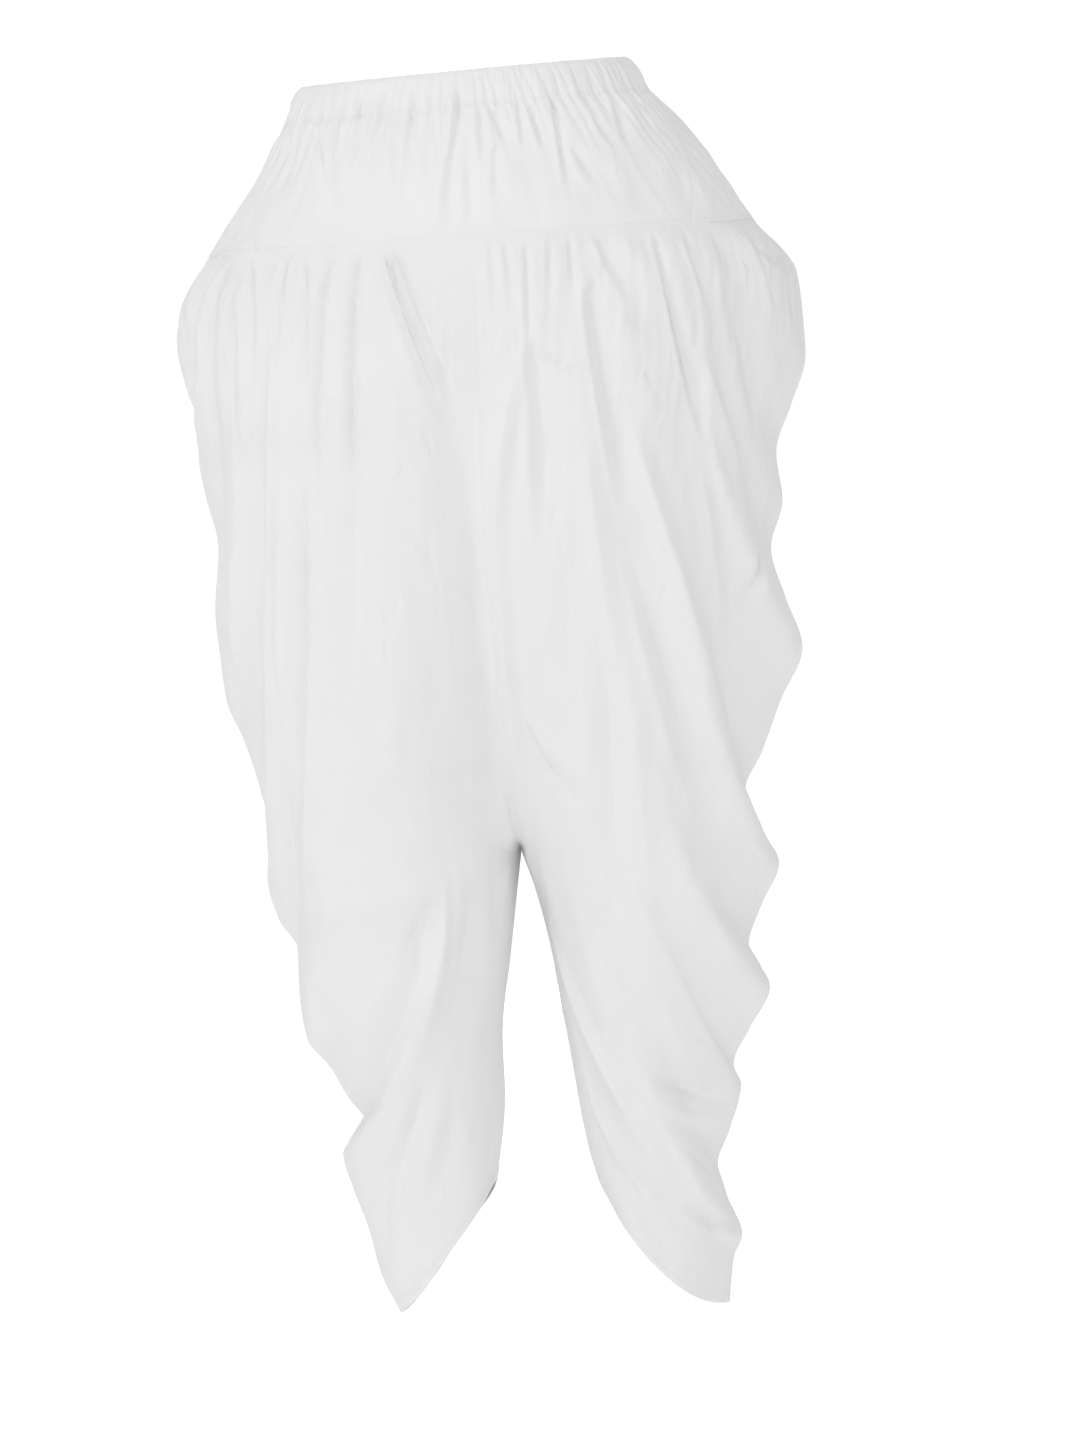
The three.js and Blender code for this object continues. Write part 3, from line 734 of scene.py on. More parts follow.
@dataclass
class YokePanel:
    """One half of the yoke, from one side seam round to the other, gathered under the casing.

    Sizes are in mm. Pairs in fade are the least share of the height over which gathers fade, and how much
    more the longest take.
    """

    name: str
    start: SideSeam
    end: SideSeam
    face: Face
    columns: int
    rows: int
    seed: int
    cut_width: float
    cut_height: float = 126.0
    height: float = 102.0
    gather_depth: float = 3.0
    gather_fade: tuple[float, float] = (0.3, 0.6)
    small_depth: float = 1.1
    small_fade: tuple[float, float] = (0.15, 0.3)
    uneven: float = 1.2
    fine_uneven: float = 0.35
    fine_stretch: float = 0.35
    calm_ends: float = 9.0
    calm_foot: float = 0.12
    seam_sink: float = 0.35
    casing_sink: float = 0.4
    sink_width: float = 1.6
    stitches_up: float = 2.6
    least_worked: float = 0.4
    worked_over: float = 0.8
    front_shift: float = 0.07
    front_sway: float = 6.0
    front_spread: float = 2.1

    def ring(self, share: float) -> Ring:
        """The yoke's ring at a share of its height."""
        if share < 0.5:
            return CASING_SEAM.towards(YOKE_MIDDLE, share * 2)
        return YOKE_MIDDLE.towards(YOKE_SEAM, share * 2 - 1)

    def place(self, x: float, z: float) -> tuple[float, float]:
        """The turn round, in radians, and the depth below the casing, in mm, of a place seen from behind."""
        share = 0.5
        for _ in range(10):
            ring = self.ring(share)
            share = min(1.0, max(0.0, share + (ring.height + ring.rise * x - z) / self.height))
        half = ring.left - ring.middle if x > ring.middle else ring.middle - ring.right
        return math.asin(max(-1.0, min(1.0, (x - ring.middle) / half))), share * self.height

    def gathers(self, angle: Array, level: Array) -> Array:
        """The relief of the placed gathers, in mm."""
        around, below = angle * YOKE_SEAM.back, level * self.height
        relief = np.zeros(angle.shape)
        for number, fold in enumerate(YOKE_GATHERS):
            line = np.array([self.place(*p) for p in fold.line(12)]) * (YOKE_SEAM.back, 1.0)
            if self.face is Face.FRONT:
                moved = 1 + self.front_shift * math.sin(self.front_spread * number)
                opposite = np.pi * YOKE_SEAM.back - line[:, 0] * moved
                line[:, 0] = opposite + self.front_sway * math.cos(number)
            relief += fold_relief(fold, around, below, line)
        return relief

    def upper_edge(self, cloth: Cloth) -> tuple[Array, Array]:
        """The turns and the relief of the panel's upper edge."""
        more = 2 * np.pi if self.face is Face.FRONT else 0.0
        return np.linspace(self.start.turn(0), self.end.turn(0, more), self.columns), cloth.relief[0]

    def cloth(self) -> Cloth:
        """Works out the panel's cloth."""
        share = np.linspace(0, 1, self.rows)
        more = 2 * np.pi if self.face is Face.FRONT else 0.0
        turns = [np.linspace(self.start.turn(s), self.end.turn(s, more), self.columns) for s in share]
        rings = [self.ring(s).places(t) for s, t in zip(share, turns)]
        base, out = (np.stack([ring[k] for ring in rings]) for k in (0, 1))
        angle, level = np.stack(turns), np.repeat(share[:, None], self.columns, axis=1)
        around = angle * YOKE_SEAM.back
        relief = self.gathers(angle, level)
        down = level * self.height
        relief += self.uneven * Ripple(self.seed, long=110, short=36).at(around, down)
        fine = Ripple(self.seed + 3, long=26, short=9).at(around, down * self.fine_stretch)
        relief += self.fine_uneven * fine
        ends = np.minimum(np.arange(self.columns), np.arange(self.columns)[::-1]) * YOKE_SEAM.back
        ends = ends * (turns[-1][1] - turns[-1][0])
        relief *= smooth(ends / self.calm_ends)
        uneven = LONG_RUFFLES.at(angle)
        large = (RUFFLES, self.gather_depth, self.gather_fade)
        small = (SMALL_RUFFLES, self.small_depth, self.small_fade)
        for ruffles, depth, (least, more) in (large, small):
            relief += depth * (1 - smooth(level / (least + more * uneven))) * (ruffles.at(angle) - 0.5)
        relief *= smooth((1 - level) / self.calm_foot)
        relief -= bell(ends, self.seam_sink, self.sink_width)
        relief -= bell(down, self.casing_sink, self.sink_width)
        span = np.linspace(0, self.cut_width, self.columns)
        cut = np.stack(np.meshgrid(span, share * self.cut_height), axis=-1)
        worked = self.least_worked + (1 - self.least_worked) * (1 - smooth(level / self.worked_over))
        return Cloth(self.name, base, out, relief, cut, worked)


# Legs

CENTRE_SEAM = ((-118, -11), (-339, -18), (-426, -25), (-533, -30), (-606, -46))
CROTCH_HEIGHT = -606.0
CROTCH_RING = 15
SEAM_EDGE = 0.05
SEAM_OVERLAP = 0.15
SEAM_TUCK = 0.3
NEAR_SEAM = 0.2
NEAR_SIDE = 0.9
ROW_HEIGHT = 40.0
TRIES = 14
HALVINGS = 20
SEAM_CLOSING = 1.35
LEG_DEPTH_BACK = (
    (-118, 152), (-200, 164), (-300, 165), (-420, 152), (-540, 129), (-660, 104), (-780, 80), (-880, 63),
    (-980, 57),
)
LEG_DEPTH_FRONT = (
    (-118, 122), (-200, 131), (-300, 133), (-420, 127), (-540, 113), (-660, 96), (-780, 76), (-880, 61),
    (-980, 56),
)


@dataclass(frozen=True)
class Web:
    """How the cloth bridges the cleft between the legs above the crotch, as in the solid.

    closing shapes its height up the seam, slope how it falls away from the seam, and blend and least are
    how softly it meets the leg and its least depth, in mm. Up the seam it grows over the share grown_over
    and fades from fade_from over fade_over. Sideways it holds up to reach and fades over reach_over.
    """

    closing: float = 0.6
    slope: float = 0.5
    blend: float = 8.0
    least: float = 1.0
    grown_over: float = 0.03
    fade_from: float = 0.55
    fade_over: float = 0.4
    reach: float = 0.3
    reach_over: float = 0.17

    def measures(self, open_share: Array) -> dict[str, Array]:
        """Its height, strength and slope, for shares of the seam's height above the crotch."""
        web = np.sin(np.arccos(1 - open_share**self.closing))
        faded = 1 - smooth((open_share - self.fade_from) / self.fade_over)
        full = smooth(open_share / self.grown_over) * faded
        return dict(web=web, full=full, slope=self.slope * (1 - open_share))

    def bridge(self, ring: dict[str, Array], reach: Array, depth: Array, y: Array) -> tuple[Array, Array]:
        """Bridges the cleft on one leg.

        Args:
            ring: the measures of the leg's rings.
            reach: how far each place lies from the seam (0) to the side (1), seen from behind.
            depth: the leg's half-depth, in mm.
            y: how far out the leg alone lies, in mm.

        Returns:
            How far out the cloth lies, in mm, and the share of the bridge in the way it faces.
        """
        low = np.maximum(depth * (1 - ring["web"]), self.least)
        bridge = depth - low * np.exp(-ring["slope"] * reach * ring["width"] / low)
        blend = np.hypot(bridge - y, self.blend)
        near_seam = ring["full"] * (1 - smooth((reach - self.reach) / self.reach_over))
        raised = y + ((y + bridge + blend) / 2 - y) * near_seam
        return raised, near_seam * (1 + (bridge - y) / blend) / 2


@dataclass(frozen=True)
class Hem:
    """The turned hem at the ankle, in mm. row is the height of one row of the outline there."""

    row: float = 34.0
    height: float = 11.0
    edge: float = 1.5
    rise: float = 0.35
    stitches: float = 9.5
    sink: float = 0.3
    sink_width: float = 1.6

    def relief(self, up: Array) -> Array:
        """How far the hem moves the cloth out, at each height above its lower edge."""
        turned = self.rise * (1 - smooth((up - self.height) / self.edge))
        return turned - bell(up - self.stitches, self.sink, self.sink_width)


@dataclass(frozen=True)
class StrewnCreases:
    """Short soft creases strewn over a leg, most of them near the yoke, in mm.

    A pair is the least and the most. crowding above 1 draws them up, turn is how far they lean, in
    radians, and inward is the share of them that are creases and not ridges.
    """

    count: int = 46
    top: float = -128.0
    reach: float = 620.0
    crowding: float = 1.8
    across: tuple[float, float] = (0.08, 0.92)
    long: tuple[float, float] = (14.0, 46.0)
    turn: float = 0.55
    sway: float = 2.5
    depth: tuple[float, float] = (0.5, 1.3)
    inward: float = 0.7
    width: tuple[float, float] = (2.4, 3.8)

    def folds(self, seed: int, line: Curve) -> tuple[Fold, ...]:
        """Draws the creases.

        Args:
            seed: the seed of the draw.
            line: the leg's side, from its height to its x.

        Returns:
            The creases, most of them below the surface.
        """
        draw = np.random.default_rng(seed)
        made = []
        for _ in range(self.count):
            z = self.top - self.reach * draw.uniform() ** self.crowding
            seam_x = np.interp(z, *zip(CENTRE_SEAM[-1], CENTRE_SEAM[0]))
            x = seam_x + (float(line.at(np.array(z))) - seam_x) * draw.uniform(*self.across)
            long, turn = draw.uniform(*self.long), draw.normal(0, self.turn)
            down, away = long * math.cos(turn), long * math.sin(turn)
            bend = (x + away / 2 + draw.normal(0, self.sway), z - down / 2)
            depth = draw.uniform(*self.depth) * (-1 if draw.uniform() < self.inward else 1)
            width = draw.uniform(*self.width)
            made.append(Fold((x, z), bend, (x + away, z - down), width, depth, 0.4, 0.3, False))
        return tuple(made)


WEB, HEM, STREWN = Web(), Hem(), StrewnCreases()


@dataclass
class Leg:
    """A wide leg, pleated into the yoke and hung in cowls that meet the side.

    side is its outline seen from behind, as rows of height and x, and side_line the same line without
    its cowls. pleats pairs the height at which a cowl ends at the side with how far round from the
    centre seam (0) to the side (1) its pleat starts. front_round and front_down are how far the front's
    folds may lie from the back's, round (as a share) and down, and front_softer how much shallower they
    are. The two calm sizes keep the relief off the seams.
    """

    name: str
    outward: int
    side: Rows
    side_line: Rows
    inseam: Rows
    hem_height: float
    hem_curve: float
    front_drop: float
    pleats: Rows
    folds: tuple[Fold, ...]
    seed: int
    back_columns: int = 224
    front_columns: int = 112
    rows: int = 253
    cowl_roundness: float = 1.3
    cowl_fade: float = 220.0
    front_round: float = 0.045
    front_down: float = 22.0
    front_softer: float = 0.2
    front_spread: float = 2.4
    yoke_over: float = 30.0
    near_yoke: float = 260.0
    calm_seam: float = 0.02
    calm_yoke: float = 18.0
    yoke_sink: float = 0.15
    yoke_sink_width: float = 1.8
    least_worked: float = 0.25
    worked_over: float = 190.0
    cut_width: float = 950.0
    cut_length: float = 900.0

    def __post_init__(self) -> None:
        """Fits the smooth lines through the tables."""
        self.last = len(self.side) - 1
        self.side_height = Curve(tuple((k, row[0]) for k, row in enumerate(self.side)))
        self.outline = Curve(self.side)
        self.line = Curve(self.side_line)
        self.start = Curve(self.pleats)
        self.seam_above = Curve(CENTRE_SEAM)
        self.seam_below = Curve(self.inseam)
        self.depth_back, self.depth_front = Curve(LEG_DEPTH_BACK), Curve(LEG_DEPTH_FRONT)

    def ring(self, row: Array) -> dict[str, Array]:
        """The measures of the leg's rings, as in the solid.

        Args:
            row: how far down each ring is, counted in rows of the outline.

        Returns:
            Heights and places at the side and seam, the angle where the seam cuts the ellipse, its
            half-width, half its girth, and the height, strength and slope of the web between
            the legs.
        """
        side = self.side_height.at(row)
        top = CENTRE_SEAM[0][0]
        above = top + (CROTCH_HEIGHT - top) * row / CROTCH_RING
        inseam_share = (row - CROTCH_RING) / (self.last - CROTCH_RING)
        below = CROTCH_HEIGHT + (self.hem_height - CROTCH_HEIGHT) * inseam_share
        seam = np.where(row <= CROTCH_RING, above, below)
        seam_x = np.where(row <= CROTCH_RING, self.seam_above.at(seam), self.seam_below.at(seam))
        depth = self.depth_back.at((side + seam) / 2)
        open_share = np.clip((seam - CROTCH_HEIGHT) / (top - CROTCH_HEIGHT), 0, 1)
        cut = np.maximum(np.arccos(1 - open_share**SEAM_CLOSING), SEAM_EDGE / depth)
        width = np.abs(self.line.at(side) - seam_x)
        half = width / (1 + np.cos(cut))
        girth = (np.pi - cut) * np.hypot(half, depth) / math.sqrt(2)
        found = dict(side=side, seam=seam, seam_x=seam_x, cut=cut, width=width, half=half, girth=girth)
        return found | WEB.measures(open_share)

    def round_at(self, x: Array, z: Array) -> Array:
        """How far round from the seam (0) to the side (1) each place seen from behind lies."""
        row = np.interp(-z, [-r[0] for r in self.side], range(len(self.side)))
        for _ in range(TRIES):
            ring = self.ring(row)
            reach = np.clip(self.outward * (x - ring["seam_x"]) / ring["width"], 0, 1)
            height = ring["seam"] + (ring["side"] - ring["seam"]) * reach
            row = np.clip(row + (height - z) / ROW_HEIGHT, 0, self.last)
        ring = self.ring(row)
        turned = np.arccos(np.clip(np.cos(ring["cut"]) - reach * ring["width"] / ring["half"], -1, 1))
        return (turned - ring["cut"]) / (np.pi - ring["cut"])

    def cowl_height(self, around: Array, z: Array) -> Array:
        """The height at which the cowl through each place reaches the side."""
        top = self.side[0][0]
        high = np.minimum(z, top - 1.0)
        low = np.full(z.shape, float(self.pleats[-1][0]))
        for _ in range(HALVINGS):
            middle = (high + low) / 2
            across = (1 - around) / (1 - self.start.at(middle))
            outside = across**2 + ((top - z) / (top - middle)) ** 2 > 1
            high, low = np.where(outside, middle, high), np.where(outside, low, middle)
        return (high + low) / 2

    def relief(self, around: Array, z: Array, girth: Array, face: Face) -> Array:
        """How far folds, cowls and soft unevenness move one face of the leg out, in mm."""
        side = self.cowl_height(around, z)
        cowl = self.outward * (self.outline.at(side) - self.line.at(side))
        total = bell(z - side, cowl * smooth(around) ** self.cowl_roundness, self.cowl_fade)
        row_heights, row_girths = -z.mean(axis=1), girth.mean(axis=1)
        across = around * np.interp(-z, row_heights, row_girths)
        for number, fold in enumerate(self.folds + STREWN.folds(self.seed, self.line)):
            places = fold.line()
            moved = math.sin(number * self.front_spread) * face.value
            line_round = self.round_at(places[:, 0], places[:, 1]) + self.front_round * moved
            lower = self.front_down * moved * np.minimum(1, np.linspace(0, 2, len(places)))
            heights = places[:, 1] - lower
            line = np.stack([line_round * np.interp(-heights, row_heights, row_girths), heights], axis=1)
            total += fold_relief(fold, across, z, line) * (1 - self.front_softer * face.value)
        near_yoke = 1 - smooth((self.side[0][0] - z) / self.near_yoke)
        # Columns: height in mm, seed after the leg's, longest and shortest wave in mm, stretch down.
        layers = ((1.6, 0, 240, 90, 0.6), (0.5, 5, 70, 26, 0.5), (0.16 + 0.5 * near_yoke, 9, 24, 9, 0.3))
        uneven = np.zeros(z.shape)
        for height, seed, long, short, stretch in layers:
            uneven += height * Ripple(self.seed + seed + face.value, long, short).at(across, z * stretch)
        return total + uneven * smooth(around / NEAR_SEAM)

    def cloth(self) -> Cloth:
        """Works out the leg's cloth, with columns from the back seam round the side to the front seam."""
        back_share = np.linspace(0, 0.5, self.back_columns + 1)
        front_share = np.linspace(0.5, 1, self.front_columns + 1)[1:]
        share = np.concatenate([back_share, front_share])[None, :]
        row = np.linspace(0, self.last, self.rows)[:, None]
        ring = self.ring(row)
        angle = ring["cut"] + share * 2 * (np.pi - ring["cut"])
        around = 1 - np.abs(1 - 2 * share) + 0 * row
        reach = ring["half"] * (np.cos(ring["cut"]) - np.cos(angle)) / ring["width"]
        hem = smooth((row - CROTCH_RING) / (self.last - CROTCH_RING))
        dropped = reach + (np.sin(reach * np.pi / 2) - reach) * self.hem_curve * hem
        front = (share > 0.5)[0]
        z = ring["seam"] + (ring["side"] - ring["seam"]) * dropped
        z = z - front * self.front_drop * hem * np.sin(np.pi * around)
        x = ring["seam_x"] + self.outward * (reach * ring["width"] - SEAM_OVERLAP)
        z[0] = YOKE_SEAM.height + YOKE_SEAM.rise * x[0] + SEAM_TUCK
        depth = np.where(front, self.depth_front.at(z), self.depth_back.at(z))
        level = self.side[0][0] - ring["side"] + 0 * share
        at_yoke = np.where(front, YOKE_SEAM.front, YOKE_SEAM.back)
        depth = at_yoke + (depth - at_yoke) * smooth(level / self.yoke_over)
        out_x, out_y = -np.cos(angle) / ring["half"], np.sin(angle) / depth
        size = np.hypot(out_x, out_y)
        y, bridged = WEB.bridge(ring, reach, depth, depth * np.abs(np.sin(angle)))
        face = np.where(front, -1, 1)
        out_x = out_x / size * (1 - bridged) - ring["slope"] * bridged
        out_y = out_y / size * (1 - bridged) + face * bridged
        size = np.hypot(out_x, out_y)
        base = np.stack([x, face * y, z], axis=-1)
        out = np.stack([self.outward * out_x / size, out_y / size, 0 * x], axis=-1)
        relief = self.whole_relief(around, z, ring["girth"] + 0 * share, front)
        relief *= smooth(around / self.calm_seam) * smooth(level / self.calm_yoke)
        relief -= bell(level, self.yoke_sink, self.yoke_sink_width)
        relief += HEM.relief((self.last - row) * HEM.row + 0 * share)
        across = np.linspace(0, self.cut_width, share.shape[1])
        cut = np.stack(np.meshgrid(across, np.linspace(0, self.cut_length, self.rows)), axis=-1)
        worked = self.least_worked + (1 - self.least_worked) * (1 - smooth(level / self.worked_over))
        parts = [base, out, relief, cut, worked]
        if self.outward < 0:
            parts = [part[:, ::-1] for part in parts]
        return Cloth(f"{self.name}_cloth", *parts)

    def whole_relief(self, around: Array, z: Array, girth: Array, front: Array) -> Array:
        """The relief of both faces, blended at the side where they meet.

        Args:
            around: how far round from the seam (0) to the side (1) each place lies.
            z: heights, in mm.
            girth: the distance from the seam to the side, in mm.
            front: which columns are on the front.

        Returns:
            The relief, in mm.
        """
        relief = np.zeros(z.shape)
        relief[:, ~front] = self.relief(around[:, ~front], z[:, ~front], girth[:, ~front], Face.BACK)
        relief[:, front] = self.relief(around[:, front], z[:, front], girth[:, front], Face.FRONT)
        side = self.outward * (self.outline.at(z) - self.line.at(z))
        kept = 1 - smooth((around - NEAR_SIDE) / (1 - NEAR_SIDE))
        return side + (relief - side) * np.where(around > NEAR_SIDE, kept, 1.0)


LEFT_LEG = Leg(
    name="leg_left",
    outward=1,
    side=(
        (-133, 202), (-168, 220), (-200, 228), (-243, 219), (-277, 205), (-290, 211), (-325, 205),
        (-366, 195), (-414, 198), (-454, 194), (-488, 189), (-517, 176), (-558, 162), (-588, 156),
        (-629, 157), (-662, 148), (-686, 133), (-720, 132), (-759, 125), (-779, 108), (-805, 92),
        (-826, 78), (-849, 97), (-878, 89), (-906, 78), (-948, 66), (-978, 50),
    ),
    side_line=(
        (-133, 202), (-180, 221), (-240, 217), (-300, 206), (-400, 197), (-500, 182), (-600, 161),
        (-700, 138), (-760, 118), (-820, 94), (-880, 85), (-978, 50),
    ),
    inseam=((-606, -46), (-684, -38), (-755, -31), (-805, -33), (-868, -27)),
    hem_height=-868,
    hem_curve=0.0,
    front_drop=14,
    pleats=((-133, 0.95), (-277, 0.78), (-366, 0.7), (-606, 0.6), (-765, 0.46), (-826, 0.08), (-990, 0)),
    folds=(
        Fold((150, -150), (166, -330), (155, -630), 8.5, -6, 0.6, 0.25, False),
        Fold((126, -270), (120, -430), (134, -690), 7, -6, 0.6, 0.25, False),
        Fold((122, -140), (119, -200), (125, -262), 3.4, -3),
        Fold((103, -137), (117, -230), (113, -350), 3.6, -4.5, 0.4),
        Fold((81, -131), (89, -240), (82, -390), 3.6, -5.5, 0.4),
        Fold((86, -300), (79, -370), (88, -470), 7, -2.5, 0.3, 0.2, False),
        Fold((61, -130), (38, -205), (0, -280), 3.2, -4.6, 0.5),
        Fold((53, -128), (30, -190), (-4, -262), 2.8, -3.6, 0.2),
        Fold((18, -200), (-4, -290), (-16, -420), 20, -5, 0, 0.1, False),
        Fold((196, -176), (204, -226), (200, -280), 8, -2.2, 0.3, 0.2, False),
        Fold((184, -150), (172, -210), (184, -300), 6.5, -2.6, 0.3, 0.2, False),
        Fold((168, -138), (160, -190), (166, -260), 4.5, -2.4),
        Fold((138, -136), (142, -170), (148, -230), 3.4, -3),
        Fold((194, -300), (190, -400), (172, -520), 8, -3.5, 0.5),
        Fold((106, -280), (106, -400), (110, -510), 12, 3.5, 0, 0.2, False),
        Fold((142, -270), (142, -420), (148, -560), 10, 3, 0, 0.1, False),
        Fold((46, -330), (56, -500), (62, -640), 22, 2.5, 0, 0.2, False),
        Fold((12, -610), (14, -700), (44, -786), 8, 5.5, 0.3, 0.2, False),
        Fold((38, -640), (30, -680), (34, -740), 11, -3, 0, 0.1, False),
        Fold((-8, -610), (-8, -700), (24, -790), 13, -3.6, 0, 0.1, False),
        Fold((27, -770), (44, -836), (68, -900), 8.5, -4.6, -0.3, 0.2, False),
        Fold((58, -796), (70, -809), (84, -823), 5.5, -3.0, 0, 0.3, False),
        Fold((92, -690), (84, -740), (70, -790), 14, 3, 0, 0.1, False),
        Fold((-2, -240), (-20, -480), (-30, -740), 20, -10, 0.5, 0.1, False),
        Fold((8, -800), (12, -850), (26, -896), 9, -2.6, 0, 0.2, False),
        Fold((72, -850), (62, -900), (56, -950), 9, -2.4, 0, 0.3, False),
        Fold((120, -700), (112, -728), (96, -760), 6, -2.6, 0, 0.3, False),
        Fold((46, -690), (64, -716), (92, -734), 8, 2, 0, 0.3, False),
    ),
    seed=31,
)

RIGHT_LEG = Leg(
    name="leg_right",
    outward=-1,
    side=(
        (-103, -230), (-146, -265), (-182, -270), (-212, -272), (-250, -261), (-289, -249), (-327, -254),
        (-364, -245), (-405, -257), (-444, -270), (-485, -253), (-529, -237), (-557, -225), (-594, -241),
        (-616, -252), (-650, -238), (-682, -228), (-716, -245), (-748, -229), (-778, -216), (-794, -222),
        (-830, -213), (-860, -203), (-887, -212), (-914, -223), (-940, -212), (-967, -206),
    ),
    side_line=(
        (-103, -230), (-150, -259), (-200, -264), (-290, -257), (-400, -254), (-500, -250), (-600, -240),
        (-700, -233), (-800, -219), (-900, -212), (-967, -206),
    ),
    inseam=((-606, -46), (-647, -61), (-757, -83), (-850, -101), (-871, -108)),
    hem_height=-871,
    hem_curve=0.9,
    front_drop=10,
    pleats=(
        (-103, 0.9), (-289, 0.6), (-364, 0.52), (-557, 0.44), (-682, 0.31), (-778, 0.2), (-860, 0.1),
        (-930, 0),
    ),
    folds=(
        Fold((-50, -128), (-52, -180), (-54, -232), 2.8, -3.4),
        Fold((-56, -208), (-66, -280), (-64, -380), 10, -7, 0.5),
        Fold((-34, -123), (-38, -150), (-40, -186), 2.8, -2.4),
        Fold((-68, -120), (-69, -150), (-68, -190), 2.8, -2.6),
        Fold((-22, -122), (-26, -150), (-26, -190), 2.6, -1.8),
        Fold((-84, -118), (-86, -140), (-88, -170), 2.8, -2),
        Fold((-49, -198), (-22, -290), (-28, -400), 9, 5.5, -0.3, 0.3, False),
        Fold((-26, -320), (-36, -540), (-74, -700), 10, 5, -0.3, 0.2, False),
        Fold((-34, -470), (-56, -500), (-84, -548), 6, 3.5, 0, 0.3, False),
        Fold((-41, -464), (-64, -556), (-113, -562), 5, -3, 0.3, 0.3, False),
        Fold((-106, -118), (-118, -140), (-137, -172), 6.5, -4.5, 0.5),
        Fold((-100, -162), (-109, -240), (-140, -380), 8, -6.5, 0.6),
        Fold((-124, -330), (-162, -480), (-229, -678), 11, -8, 0.4, 0.25, False),
        Fold((-124, -236), (-152, -340), (-223, -548), 8, 6.5, 0, 0.3, False),
        Fold((-152, -124), (-169, -206), (-198, -300), 4, -4.8, 0.5),
        Fold((-190, -280), (-207, -350), (-218, -456), 9.5, -5.5, 0.4, 0.25, False),
        Fold((-184, -200), (-206, -261), (-238, -348), 8, 4.5, 0, 0.3, False),
        Fold((-200, -132), (-230, -206), (-241, -330), 13, -5, 0.2, 0.25, False),
        Fold((-176, -122), (-186, -150), (-200, -190), 4, -2.6),
        Fold((-222, -118), (-238, -150), (-250, -196), 6, -2.4),
        Fold((-60, -207), (-80, -219), (-104, -224), 2.4, -1.6, 0, 0.5),
        Fold((-128, -181), (-140, -190), (-154, -194), 2.4, -1.4, 0, 0.5),
        Fold((-231, -131), (-246, -142), (-264, -147), 2.8, -2.4, 0, 0.5),
        Fold((-142, -222), (-150, -240), (-160, -248), 2.4, -1.3, 0, 0.5),
        Fold((-107, -400), (-116, -570), (-128, -760), 12, -6.5, 0, 0.2, False),
        Fold((-124, -400), (-138, -540), (-150, -664), 10, 3.5, 0, 0.2, False),
        Fold((-96, -256), (-104, -380), (-134, -500), 9, 4.5, 0, 0.3, False),
        Fold((-78, -360), (-84, -430), (-92, -520), 12, -3, 0, 0.1, False),
        Fold((-66, -640), (-92, -770), (-160, -856), 7, 4.5, 0, 0.3, False),
        Fold((-76, -700), (-110, -806), (-171, -888), 8, -5.5, -0.2, 0.25, False),
        Fold((-92, -776), (-122, -850), (-166, -894), 6, 4, 0, 0.3, False),
        Fold((-168, -884), (-190, -898), (-218, -907), 6, -3.6, 0.2, 0.25, False),
        Fold((-128, -768), (-180, -802), (-219, -802), 6, -4.2, -0.5, 0.3, False),
        Fold((-140, -790), (-184, -820), (-220, -816), 6.5, 3, 0, 0.2, False),
        Fold((-150, -700), (-172, -760), (-200, -786), 12, 2, 0, 0.2, False),
        Fold((-182, -846), (-194, -856), (-206, -860), 4, -2, 0, 0.4),
        Fold((-104, -620), (-112, -690), (-132, -750), 10, -3, 0, 0.2, False),
        Fold((-128, -850), (-150, -900), (-172, -936), 8, -2.4, 0, 0.2, False),
        Fold((-236, -352), (-222, -380), (-214, -420), 5, -4, 0, 0.4),
    ),
    seed=47,
)


# Sewing


